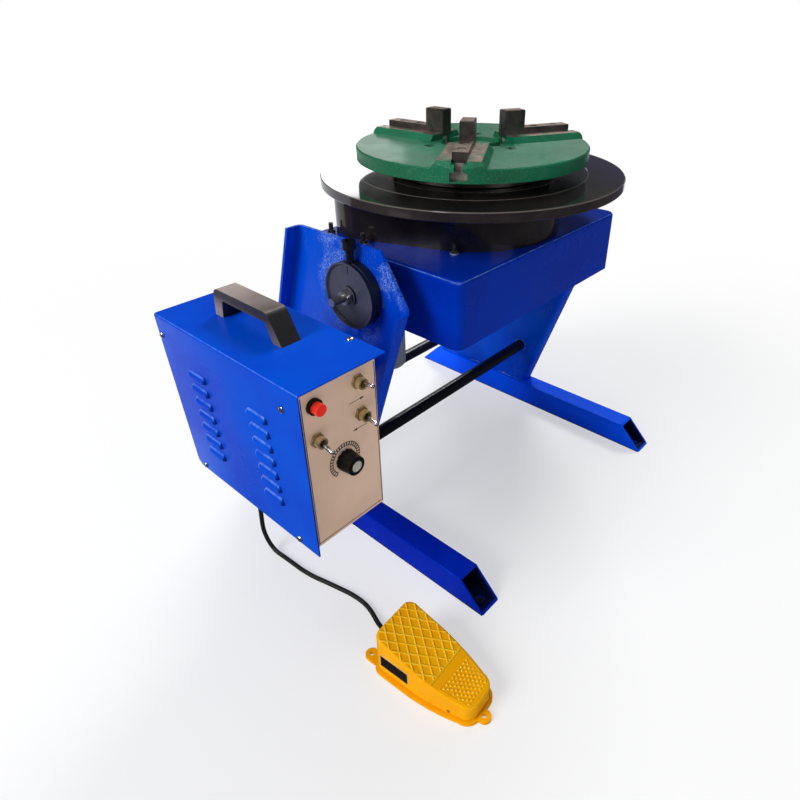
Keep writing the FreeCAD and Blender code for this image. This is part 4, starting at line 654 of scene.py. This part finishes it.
# %% Make the grip and lever finishes
grip = Finish("grip", "worn_grip", Specular_IOR_Level=0.4)
_, rearward, height = grip.xyz(grip.place)
grip_spots = grip.stain(30.0, 6.0, 0.32, 0.66, (0.38, 0.6), coarse=0.6)
grain = grip.spots(900.0, 3.0, 0.3, 0.7)
plain = grip.blend(grain, (0.014, 0.012, 0.012), (0.026, 0.023, 0.022))
worn = grip.blend(grip_spots, (0.085, 0.066, 0.062), (0.2, 0.158, 0.15))
worn = grip.blend(grip.between(rearward, -0.05, 0.045, to_high=0.7), worn, (0.5, 0.42, 0.39))
# Painted light: the lower outer sides of the legs take the top's grey, as lit from the left.
lit_outer_side = grip.between(grip.xyz(grip.facing)[0], -0.8, -0.95)
lower = grip.between(height, 0.418, 0.402, 0.08, 0.8)
grey_top_and_lit_sides = grip.largest(grip.milled_mask(0.4235), grip.times(lit_outer_side, lower))
grip.take(Base_Color=grip.blend(grey_top_and_lit_sides, plain, worn))
grip.relief(grain, 0.4, 0.00008)

lever = Finish("lever", "lever_chrome", Metallic=1.0)
tip = lever.between(lever.xyz(lever.place)[1], -0.1625, -0.1640)
smudge = lever.stain(300.0, 4.0, 0.35, 0.65, (0.1, 0.26))
stem = lever.blend(smudge, (0.22, 0.2, 0.19), (0.4, 0.38, 0.36))
lever.take(Base_Color=lever.blend(tip, stem, (0.85, 0.84, 0.82)))
print("grip and levers ready")

# %% Make the table's finish
ring_radii = (0.153, 0.120)
table = Finish("table_face", "turned_table_face", Coat_Roughness=0.04)
turning = table.group(lathe, Rings_Per_Metre=1100.0)
reach = table.off_axis((1, 1, 0))
upright = table.xyz(table.facing)[2]
# Painted highlight: a thin pale line along the top edge of the rim.
rim_highlight = table.times(table.between(reach, 0.1975, 0.1990), table.between(upright, 0.3, 0.6, to_high=0.5))
ring_lines = [table.between(table.apart(reach, radius), 0.0004, 0.0009, 1.0, 0.0) for radius in ring_radii]
smudge = table.spots(18.0, 5.0, 0.3, 0.7)
# Painted reflection: the face turns navy towards its right side.
painted_reflection_right = table.between(table.xyz(table.place)[0], 0.02, 0.19)
brown = table.blend(smudge, (0.014, 0.011, 0.014), (0.034, 0.026, 0.024))
dark = table.blend(painted_reflection_right, brown, (0.05, 0.035, 0.13))
table.take(Base_Color=table.blend(table.largest(*ring_lines, rim_highlight), dark, (0.3, 0.26, 0.24)),
           Roughness=table.between(table.plus(smudge, turning["Tone"]), 0.0, 2.0, 0.05, 0.15),
           Coat_Weight=table.between(upright, 0.5, 0.9, 0.1, 0.7),
           Metallic=table.between(upright, 0.5, 0.9, 0.1, 0.4))
table.relief(turning["Height"], 0.3, 0.00001)
print("table face ready, rings at", ring_radii)

# %% [markdown]
# ### Hammered green with bare ways
# Hammer paint dries into shallow dimples. Smooth Voronoi cells give the dimples, and the milled mask
# swaps the paint for bare steel on top of the three ways, with a little paint left where the cutter
# missed it. The jaws' flat tops take a warmer tint in the same way, and the tray's bolts are dark with
# bright washers.

# %% Make the finishes of the chuck, jaws and bolts
chuck = Finish("green_hammer", "green_hammer", Coat_Weight=0.2, Coat_Roughness=0.16, Specular_IOR_Level=0.3)
dimples = chuck.add("ShaderNodeTexVoronoi", feature="SMOOTH_F1")
chuck.feed(dimples.inputs["Vector"], chuck.place)
chuck.feed(dimples.inputs["Scale"], 700.0)
skin = chuck.group(enamel, Colour=(0.002, 0.17, 0.08), Deep_Colour=(0.003, 0.11, 0.045), Dust=0.1,
                   Gloss_Low=0.3, Gloss_High=0.45, Cloud_Scale=16.0)
speckle = chuck.spots(520.0, 3.0, 0.5, 0.7, to_high=0.3, roughness=0.7)
speckled = chuck.blend(speckle, skin["Colour"], (0.1, 0.36, 0.2))
bare = chuck.times(chuck.milled_mask(0.5272), chuck.spots(70.0, 6.0, 0.38, 0.46))
steel_tint = chuck.blend(chuck.spots(90.0, 6.0, 0.35, 0.65), (0.32, 0.24, 0.19), (0.15, 0.1, 0.075))
chuck.take(Base_Color=chuck.blend(bare, speckled, steel_tint), Metallic=chuck.times(bare, 0.7),
           Roughness=skin["Roughness"])
chuck.relief(dimples.outputs["Distance"], 0.9, 0.0006)

jaws = Finish("dark_steel", "hardened_jaw_steel", Metallic=0.85)
stain = jaws.stain(60.0, 7.0, 0.35, 0.68, (0.28, 0.5), coarse=0.65)
dark_tint = jaws.blend(stain, (0.075, 0.068, 0.064), (0.14, 0.12, 0.11))
warm_tint = jaws.blend(stain, (0.3, 0.22, 0.17), (0.14, 0.1, 0.08))
jaws.take(Base_Color=jaws.blend(jaws.milled_mask(0.534), dark_tint, warm_tint))
jaws.relief(jaws.noise(900.0, 3.0), 0.4, 0.00005)

washer_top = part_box("tray")[1].z + 0.0016
bolts = Finish("tray_bolt_steel", "heat_darkened_bolts", Metallic=0.6)
stain = bolts.stain(300.0, 5.0, 0.35, 0.68, (0.25, 0.45))
dark_tint = bolts.blend(stain, (0.02, 0.018, 0.018), (0.06, 0.055, 0.05))
washer_tint = bolts.blend(stain, (0.72, 0.72, 0.72), (0.5, 0.5, 0.5))
on_washer = bolts.between(bolts.xyz(bolts.place)[2], washer_top + 0.0002, washer_top)
bolts.take(Base_Color=bolts.blend(on_washer, dark_tint, washer_tint))
print("chuck, jaw and bolt finishes ready")

# %% [markdown]
# ## Dress the CAD parts
# Each CAD part names the finish that it takes. Some take a special version of it: the side plates with
# painted glints, the feet with painted shade inside, the box's folded cover with painted bend highlights,
# the tray in painted shade, the clamp wheel with painted shade and its lever, the table's turned face, the
# bars, the grip, the levers, the sliders, the knob's cap and the tray's bolts.

# %% Assign a finish to every part
slot_of = {s["node"]: s["material_slot"] for s in frame["record"]["subparts"]}
special_parts = {
    "blue_plate": ["side_plate_left", "side_plate_right"], "blue_tube": ["foot_left", "foot_right"],
    "blue_folded": ["box_cover"], "blue_tray": ["tray"], "tray_bolt_steel": ["tray_bolts"],
    "turned_steel": ["wheel_nut"], "grip": ["carry_handle"], "table_face": ["turntable"],
    "lever": ["foot_toggle", "direction_toggle", "power_toggle"], "bar_black": ["cross_bars", "wheel_lever"],
    "slider_steel": ["jaw_slider_1", "jaw_slider_2", "jaw_slider_3"], "knob_disc": ["knob_cap"],
    "black_wheel": ["clamp_wheel"],
}
special_finish = {part: finish for finish, parts in special_parts.items() for part in parts}
for name, part in nodes.items():
    part.data.materials.clear()
    part.data.materials.append(finishes[special_finish.get(name, slot_of[name])])
cord_curve.materials.append(finishes["cord_rubber"])
print("dressed parts:", len(nodes))

# %% [markdown]
# ## Shapes that grow from rules
# Weld beads, tread ribs, tread domes, dial ticks and screws repeat one small shape along a path or over a
# set of places. Geometry Nodes suit that: the tree is built once, its sizes are named inputs, and the
# result is turned into a plain mesh that rides on one body.

# %% Helpers for Geometry Nodes
class Shape(Group):
    """A Geometry Nodes tree. It ends in Realize Instances and Set Material."""

    def __init__(self, name, inputs):
        sockets = {"Geometry": "Geometry", **inputs, "Finish": "Material"}
        super().__init__(name, sockets, {"Geometry": "Geometry"}, "GeometryNodeTree")

    def end(self, geometry):
        real = self.wire("GeometryNodeRealizeInstances", (geometry,))
        finish = {"Geometry": real, "Material": self.enter["Finish"]}
        self.give(Geometry=self.wire("GeometryNodeSetMaterial", finish))

    def on_points(self, places, thing, **more):
        """One copy of a thing on every point."""
        return self.wire("GeometryNodeInstanceOnPoints", {"Points": places, "Instance": thing, **more})

    def turned_to(self, direction, **settings):
        return self.wire("FunctionNodeAlignRotationToVector", {"Vector": direction}, **settings)

    def stored_facing(self):
        """The direction that facing_places has stored on every point."""
        return self.wire("GeometryNodeInputNamedAttribute", {"Name": "facing"}, "Attribute",
                         data_type="FLOAT_VECTOR")


def facing_places(name, places, directions):
    """Points that each know which way the piece on them looks."""
    guide = plain_mesh(name, places)
    stored = guide.attributes.new("facing", "FLOAT_VECTOR", "POINT")
    for item, direction in zip(stored.data, directions):
        item.vector = direction
    return guide


def finish_piece(piece, body, smooth=True):
    """Gives a piece its body, and shades it smooth where asked."""
    for face in piece.data.polygons:
        face.use_smooth = smooth
    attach(piece, body)
    print(piece.name, "faces:", len(piece.data.polygons))
    return piece


def evaluated_mesh(piece):
    """The plain mesh that a piece's modifiers make."""
    bpy.context.view_layer.update()
    return bpy.data.meshes.new_from_object(piece.evaluated_get(bpy.context.evaluated_depsgraph_get()))


def grow(name, guide, shape, body, slot, finish, smooth=True, **values):
    """Runs a tree on a guide mesh and keeps the result as a plain mesh."""
    finish = finishes[finish]
    piece = put(name, guide)
    modifier = piece.modifiers.new("grow", "NODES")
    modifier.node_group = shape.tree
    values["Finish"] = finish
    for item in shape.tree.interface.items_tree:
        if item.in_out == "INPUT" and item.name.replace(" ", "_") in values:
            modifier[item.identifier] = values[item.name.replace(" ", "_")]
    mesh = evaluated_mesh(piece)
    piece.modifiers.clear()
    piece.data = mesh
    mesh.name = name
    if not mesh.materials:
        mesh.materials.append(finish)
    return finish_piece(piece, body, smooth)


# %% [markdown]
# ### Weld beads
# The side plates are welded to the feet and the cross bars to the plates. A bead is a row of overlapping
# ripples, each a little flat drop, so one drop is placed every 1.6 mm along guide lines in the corners.

# %% Tree for weld beads
bead = Shape("weld_bead", {"Ripple Spacing": 0.0016, "Bead Radius": 0.0026})
as_curve = bead.wire("GeometryNodeMeshToCurve", (bead.enter["Geometry"],))
spacing = {"Curve": as_curve, "Length": bead.enter["Ripple Spacing"]}
steps = bead.wire("GeometryNodeResampleCurve", spacing, mode="LENGTH")
drop = bead.wire("GeometryNodeMeshIcoSphere", {"Radius": bead.enter["Bead Radius"], "Subdivisions": 2})
flatter = bead.wire("ShaderNodeCombineXYZ", (0.62, 1.0, 1.0))
drop_turn = bead.turned_to(bead.wire("GeometryNodeInputTangent"), axis="X")
bead.end(bead.on_points(steps, drop, Rotation=drop_turn, Scale=flatter))

# %% Guide lines in the corners
plate_inner = 0.213
plate_outer = 0.217
foot_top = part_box("foot_right")[1].z
bar_radius = 0.010
bar_places = [(0.039, 0.118), (0.171, 0.118)]
bar_turns = [math.tau * k / 24 for k in range(25)]
foot_runs = [(0.034, 0.084), (0.125, 0.160), (0.195, 0.236)]
weld_points = []
weld_edges = []


def weld_line(points):
    first = len(weld_points)
    weld_points.extend(points)
    weld_edges.extend((first + k, first + k + 1) for k in range(len(points) - 1))


for side in (-1, 1):
    for x in (plate_inner, plate_outer):
        for low_y, high_y in foot_runs:
            weld_line([(side * x, low_y, foot_top), (side * x, high_y, foot_top)])
    for y, z in bar_places:
        weld_line([(side * plate_inner, y + bar_radius * math.cos(t), z + bar_radius * math.sin(t))
                   for t in bar_turns])
grow("weld_beads", plain_mesh("weld_guides", weld_points, weld_edges), bead, "frame", "blue_paint",
     "weld_paint")

# %% [markdown]
# ### The pedal's tread
# The treadle has a raised diamond lattice on its long slope, closed by a rib, and a field of small domes
# on its toe. Both follow the slope of the casting, so their guide points are worked out in the pedal's
# own measures: across it, along it from the heel, and height from the floor.

# %% The pedal's own measures
pedal_heel = Vector((-0.347, -0.171, 0.0))
pedal_turn = math.radians(4.3)
pedal_length = 0.131
slope_break = 0.082
heel_height = 0.0607
break_height = 0.0366
toe_height = 0.025
widest, narrow, draws_in, toe_knuckle, toe_radius = 0.0334, 0.024, 0.055, 0.117, 0.014


def on_pedal(across, along, height):
    return pedal_heel + Vector((across * math.cos(pedal_turn) + along * math.sin(pedal_turn),
                                across * math.sin(pedal_turn) - along * math.cos(pedal_turn), height))


def tread_height(along):
    if along < slope_break:
        return heel_height + (break_height - heel_height) * along / slope_break
    return break_height + (toe_height - break_height) * (along - slope_break) / (pedal_length - slope_break)


def on_tread(across, along, sink):
    """A point a little under the tread, so that what stands on it is held."""
    return on_pedal(across, along, tread_height(along) - sink)


def half_width(along):
    if along < draws_in:
        return widest
    if along < toe_knuckle:
        return widest - (widest - narrow) * ((along - draws_in) / (toe_knuckle - draws_in)) ** 1.6
    return narrow - toe_radius + math.sqrt(toe_radius ** 2 - (along - toe_knuckle) ** 2)


print("tread falls", round((heel_height - toe_height) * 1000, 1), "mm")

# %% Tree for ribs
rib = Shape("tread_rib", {"Rib Radius": 0.001})
as_curve = rib.wire("GeometryNodeMeshToCurve", (rib.enter["Geometry"],))
section = rib.wire("GeometryNodeCurvePrimitiveCircle", {"Radius": rib.enter["Rib Radius"], "Resolution": 8})
rib.end(rib.wire("GeometryNodeCurveToMesh", {"Curve": as_curve, "Profile Curve": section, "Fill Caps": True}))

# %% Lattice guide lines
diamond_across = 0.0129
diamond_along = 0.0170
lattice_margin = 0.0021
lattice_start = 0.0020
lattice_end = 0.0805
corner_across, corner_along, corner_round = 0.011, 0.009, 0.0092
rib_sink = 0.0002
shortest_rib = 12
steps_along = 400


def inside_lattice(across, along):
    past_across = max(abs(across) - (half_width(along) - corner_across), 0.0)
    past_along = max(lattice_start + corner_along - along, 0.0)
    rounded = math.hypot(past_across, past_along) < corner_round
    inside = abs(across) < half_width(along) - lattice_margin
    return lattice_start < along < lattice_end and inside and rounded


rib_points = []
for lean in (-1, 1):
    for number in range(-8, 14):
        kept = []
        for k in range(steps_along + 1):
            along = lattice_end * k / steps_along
            across = lean * (along - number * diamond_along) * diamond_across / diamond_along
            if inside_lattice(across, along):
                kept.append((across, along))
        if len(kept) > shortest_rib:
            rib_points += [on_tread(*place, rib_sink) for place in (kept[0], kept[-1])]
edge_across = half_width(lattice_end) - lattice_margin
rib_points += [on_tread(side * edge_across, lattice_end, rib_sink) for side in (-1, 1)]
rib_edges = [(k, k + 1) for k in range(0, len(rib_points), 2)]
grow("tread_lattice", plain_mesh("lattice_guides", rib_points, rib_edges), rib, "pedal_treadle",
     "yellow_paint", "yellow_ribs", Rib_Radius=0.0012)

# %% The line round the toe's panel
toe_start, toe_margin = 0.0905, 0.0040


def toe_side(side):
    straight = [toe_start + (toe_knuckle - toe_start) * k / 8 for k in range(9)]
    turns = [math.pi / 2 * k / 8 for k in range(1, 9)]
    bend = toe_radius - toe_margin
    return [(side * (half_width(along) - toe_margin), along) for along in straight] + [
        (side * (narrow - toe_radius + bend * math.cos(t)), toe_knuckle + bend * math.sin(t)) for t in turns]


loop_points = [on_tread(*place, 0.0001) for place in toe_side(1) + toe_side(-1)[::-1]]
loop_edges = [(k, (k + 1) % len(loop_points)) for k in range(len(loop_points))]
grow("toe_outline", plain_mesh("toe_guides", loop_points, loop_edges), rib, "pedal_treadle", "yellow_paint",
     "yellow_paint", Rib_Radius=0.0006)

# %% Tree for domes, and the toe's field of them
dome = Shape("tread_dome", {"Dome Radius": 0.0013})
ball = dome.wire("GeometryNodeMeshIcoSphere", {"Radius": dome.enter["Dome Radius"], "Subdivisions": 2})
dome.end(dome.on_points(dome.enter["Geometry"], ball))

first_row, row_pitch, column_pitch, dome_margin = 0.0938, 0.0037, 0.0054, 0.0022
dome_points = []
for row in range(9):
    along = first_row + row * row_pitch
    for column in range(-6, 7):
        across = (column + 0.5 * (row % 2)) * column_pitch
        if abs(across) < half_width(along) - toe_margin - dome_margin:
            dome_points.append(on_tread(across, along, 0.0002))
grow("tread_domes", plain_mesh("dome_places", dome_points), dome, "pedal_treadle", "yellow_paint",
     "yellow_ribs", Dome_Radius=0.0015)

# %% [markdown]
# ### The return spring
# The treadle stands on a coil spring, which shortens when a foot presses it. The spring of the CAD model
# is right at rest, so its shape is copied into a mesh of its own that rides on the frame, the CAD spring is
# hidden, and the middle of its base is found.

# %% Copy the spring
spring_low, spring_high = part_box("pedal_spring")
spring = put("return_spring", nodes["pedal_spring"].data.copy())
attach(spring, "frame")
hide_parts("pedal_spring")
spring_foot = (spring_low + spring_high) / 2
spring_foot.z = spring_low.z
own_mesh(spring)

# %% [markdown]
# ### Cross-slotted screws
# The box's cover is held by small pan-head screws with a cross. One head is built from a given profile: a
# domed disc with a cross cut into it by a Boolean. A tree then sets it on every screw place, turned to its
# face.

# %% One screw head
box_quads = [(3, 2, 1, 0), (4, 5, 6, 7), (0, 1, 5, 4), (1, 2, 6, 5), (2, 3, 7, 6), (3, 0, 4, 7)]


def lathe_mesh(name, profile, steps=24):
    """Turns (radius, height) points about Z; the first and last point lie on the axis."""
    angles = [math.tau * k / steps for k in range(steps)]
    rows = [[(radius * math.cos(t), radius * math.sin(t), height) for t in angles] if radius else
            [(0.0, 0.0, height)] for radius, height in profile]
    starts = [sum(len(row) for row in rows[:k]) for k in range(len(rows))]
    faces = []
    for lower, upper, a, b in zip(rows, rows[1:], starts, starts[1:]):
        for k in range(steps):
            n = (k + 1) % steps
            if len(lower) == 1:
                faces.append((a, b + n, b + k))
            elif len(upper) == 1:
                faces.append((a + k, a + n, b))
            else:
                faces.append((a + k, a + n, b + n, b + k))
    return plain_mesh(name, [point for row in rows for point in row], faces=faces)


head_radius = 0.0037
head_height = 0.0019
profile = [(0, 0), (head_radius, 0), (head_radius, head_height * 0.35),
           (head_radius * 0.82, head_height * 0.8), (head_radius * 0.45, head_height), (0, head_height * 1.02)]
slot_half, slot_width_half = 0.0021, 0.0004
head = put("pan_head", lathe_mesh("pan_head", profile))
cross_points = []
cross_faces = []
for half_x, half_y in ((slot_half, slot_width_half), (slot_width_half, slot_half)):
    first = len(cross_points)
    for z in (head_height * 0.35, head_height * 1.6):
        cross_points += [(x * half_x, y * half_y, z) for x, y in square]
    cross_faces += [tuple(first + i for i in quad) for quad in box_quads]
cutter = put("cross_cutter", plain_mesh("cross_cutter", cross_points, faces=cross_faces))
cut = head.modifiers.new("cross", "BOOLEAN")
cut.operation = "DIFFERENCE"
cut.object = cutter
cut.solver = "EXACT"
cut.use_self = True
head_mesh = evaluated_mesh(head)
head.modifiers.clear()
head.data = head_mesh
bpy.data.objects.remove(cutter)
print("screw head faces:", len(head_mesh.polygons))

# %% Tree that sets a head on each place
screw = Shape("set_screws", {"Head": "Object"})
one_head = screw.wire("GeometryNodeObjectInfo", {"Object": screw.enter["Head"]}, "Geometry")
screw_turn = screw.turned_to(screw.stored_facing(), axis="Z")
screw.end(screw.on_points(screw.enter["Geometry"], one_head, Rotation=screw_turn))

side_x = -0.418
top_z = 0.3937
side_screws = [(0.088, 0.370), (-0.124, 0.369), (0.059, 0.2065), (-0.1195, 0.2065)]
top_screws = [(-0.3195, -0.106), (-0.3195, 0.070)]
screw_places = [(side_x, y, z) for y, z in side_screws] + [(x, y, top_z) for x, y in top_screws]
screw_facings = [(-1, 0, 0)] * len(side_screws) + [(0, 0, 1)] * len(top_screws)
screws = grow("cover_screw_heads", facing_places("screw_places", screw_places, screw_facings), screw, "frame",
              "bright_steel", "bright_steel", smooth=False, Head=head)
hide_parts("cover_screws")
bpy.data.objects.remove(head)

# %% [markdown]
# ### Marks on the panel
# Round the speed knob is a ring of ticks between two arcs, and beside the direction switch are two bare
# arrows. They are printed on the real panel, so here they are paper-thin black plates that lie on it.

# %% Ticks round the knob
panel_low, panel_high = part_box("front_panel")
panel_y = panel_low.y
mark_lift = 0.00006
ink = Finish("panel_ink", "panel_ink")
wear = ink.stain(700.0, 4.0, 0.3, 0.7, (0.4, 0.6))
ink.take(Base_Color=ink.blend(wear, (0.006, 0.005, 0.006), (0.02, 0.017, 0.016)))

tick = Shape("dial_ticks", {"Tick Length": 0.003, "Tick Width": 0.0008})
tick_size = tick.wire("ShaderNodeCombineXYZ", (tick.enter["Tick Width"], 0.0001, tick.enter["Tick Length"]))
one_tick = tick.wire("GeometryNodeMeshCube", {"Size": tick_size})
tick_turn = tick.turned_to(tick.stored_facing(), axis="Z", pivot_axis="Y")
tick.end(tick.on_points(tick.enter["Geometry"], one_tick, Rotation=tick_turn))


def on_dial(radius, degrees):
    """Degrees run from the +X side over the top, seen from the front."""
    turn_by = math.radians(degrees)
    return (knob_x + radius * math.cos(turn_by), panel_y - mark_lift, knob_z + radius * math.sin(turn_by))


dial_start, dial_stop, dial_ticks = -30, 228, 25
dial_angles = [dial_start + (dial_stop - dial_start) * k / (dial_ticks - 1) for k in range(dial_ticks)]
dial_inner, dial_outer = 0.0150, 0.0188
tick_guide = facing_places("tick_places", [on_dial((dial_inner + dial_outer) / 2, a) for a in dial_angles],
                           [(math.cos(math.radians(a)), 0, math.sin(math.radians(a))) for a in dial_angles])
grow("dial_ticks", tick_guide, tick, "frame", "panel_metal", "panel_ink", smooth=False, Tick_Length=0.0036,
     Tick_Width=0.0013)

# %% Arcs, arrows and border lines
def closed_piece(name, points, faces, finish):
    """A piece made of plain faces that all look outwards."""
    mesh = plain_mesh(name, points, faces=faces)
    mesh.materials.append(finishes[finish])
    work = bmesh.new()
    work.from_mesh(mesh)
    bmesh.ops.recalc_face_normals(work, faces=work.faces)
    work.to_mesh(mesh)
    work.free()
    return put(name, mesh)


def flat_marks(name, strips):
    """Thin plates on the panel. A strip is a row of (x, z) pairs down one side and the other."""
    points = []
    faces = []
    for one, other in strips:
        first = len(points)
        count = len(one)
        for y in (panel_y - mark_lift, panel_y + 0.00002):
            points += [(x, y, z) for x, z in (*one, *other)]
        back = 2 * count
        for a in range(first, first + count - 1):
            b, c, d = a + 1, a + count + 1, a + count
            faces += [(a, b, c, d), (back + d, back + c, back + b, back + a),
                      (b, a, back + a, back + b), (d, c, back + c, back + d)]
        for a, d in ((first, first + count), (first + 2 * count - 1, first + count - 1)):
            faces.append((a, d, back + d, back + a))
    piece = closed_piece(name, points, faces, "panel_ink")
    return finish_piece(piece, "frame", smooth=False)


def arc_strip(radius, width):
    angles = [dial_start - 2 + (dial_stop - dial_start + 4) * k / 60 for k in range(61)]
    return [[on_dial(r, a)[::2] for a in angles] for r in (radius - width / 2, radius + width / 2)]


def bar_strip(x0, z0, x1, z1, width):
    along = Vector((x1 - x0, z1 - z0)).normalized()
    side = Vector((-along.y, along.x)) * width / 2
    ends = (Vector((x0, z0)), Vector((x1, z1)))
    return [tuple(p - side) for p in ends], [tuple(p + side) for p in ends]


arrow_length, barb_length, barb_half = 0.019, 0.0055, 0.0014


def arrow_strips(x, z, sign):
    tip = x + sign * arrow_length / 2
    barb_end = tip - sign * barb_length
    shaft = bar_strip(x - sign * arrow_length / 2, z, tip - sign * 0.003, z, 0.0006)
    barb = [(tip, z), (barb_end, z - barb_half)], [(tip, z + 0.00001), (barb_end, z + barb_half)]
    return [shaft, barb]


border = 0.0011
left_x, right_x = panel_low.x + border, panel_high.x - border
low_z, high_z, cross_z = panel_low.z + 0.002, panel_high.z - 0.002, panel_low.z + 0.0035
borders = [bar_strip(x, low_z, x, high_z, 0.0010) for x in (left_x, right_x)]
borders.append(bar_strip(left_x, cross_z, right_x, cross_z, 0.0009))
marks = arrow_strips(-0.350, 0.3547, 1) + arrow_strips(-0.349, 0.3226, -1)
marks += [arc_strip(dial_inner, 0.0008), arc_strip(dial_outer, 0.0008)]
flat_marks("panel_marks", marks + borders)

# %% [markdown]
# ### The bare plate on the pedal's side
# A small black plate is riveted to the treadle's left wall. It stays bare: a thin slab with a pale
# bevelled outline.

# %% Plate on the pedal
pedal_along = (on_pedal(0, 1, 0) - on_pedal(0, 0, 0)).normalized()
pedal_left = (on_pedal(-1, 0, 0) - on_pedal(0, 0, 0)).normalized()
upwards = Vector((0, 0, 1))
plate_centre = on_pedal(-0.0334, 0.0315, 0.0255)


def pedal_slab(name, centre, length, height, thickness, finish):
    """A thin bevelled plate against the treadle's left wall."""
    points = [centre + pedal_along * a * length / 2 + upwards * u * height / 2 + pedal_left * depth
              for depth in (0, thickness) for a, u in square]
    piece = closed_piece(name, points, box_quads, finish)
    rounded = piece.modifiers.new("edge", "BEVEL")
    rounded.width = 0.0001
    rounded.segments = 2
    return finish_piece(piece, "pedal_treadle", smooth=False)


pedal_slab("pedal_plate_edge", plate_centre, 0.0405, 0.0185, 0.0003, "silver_cap")
pedal_slab("pedal_plate", plate_centre + pedal_left * 0.0002, 0.0392, 0.0172, 0.0004, "black_plastic")
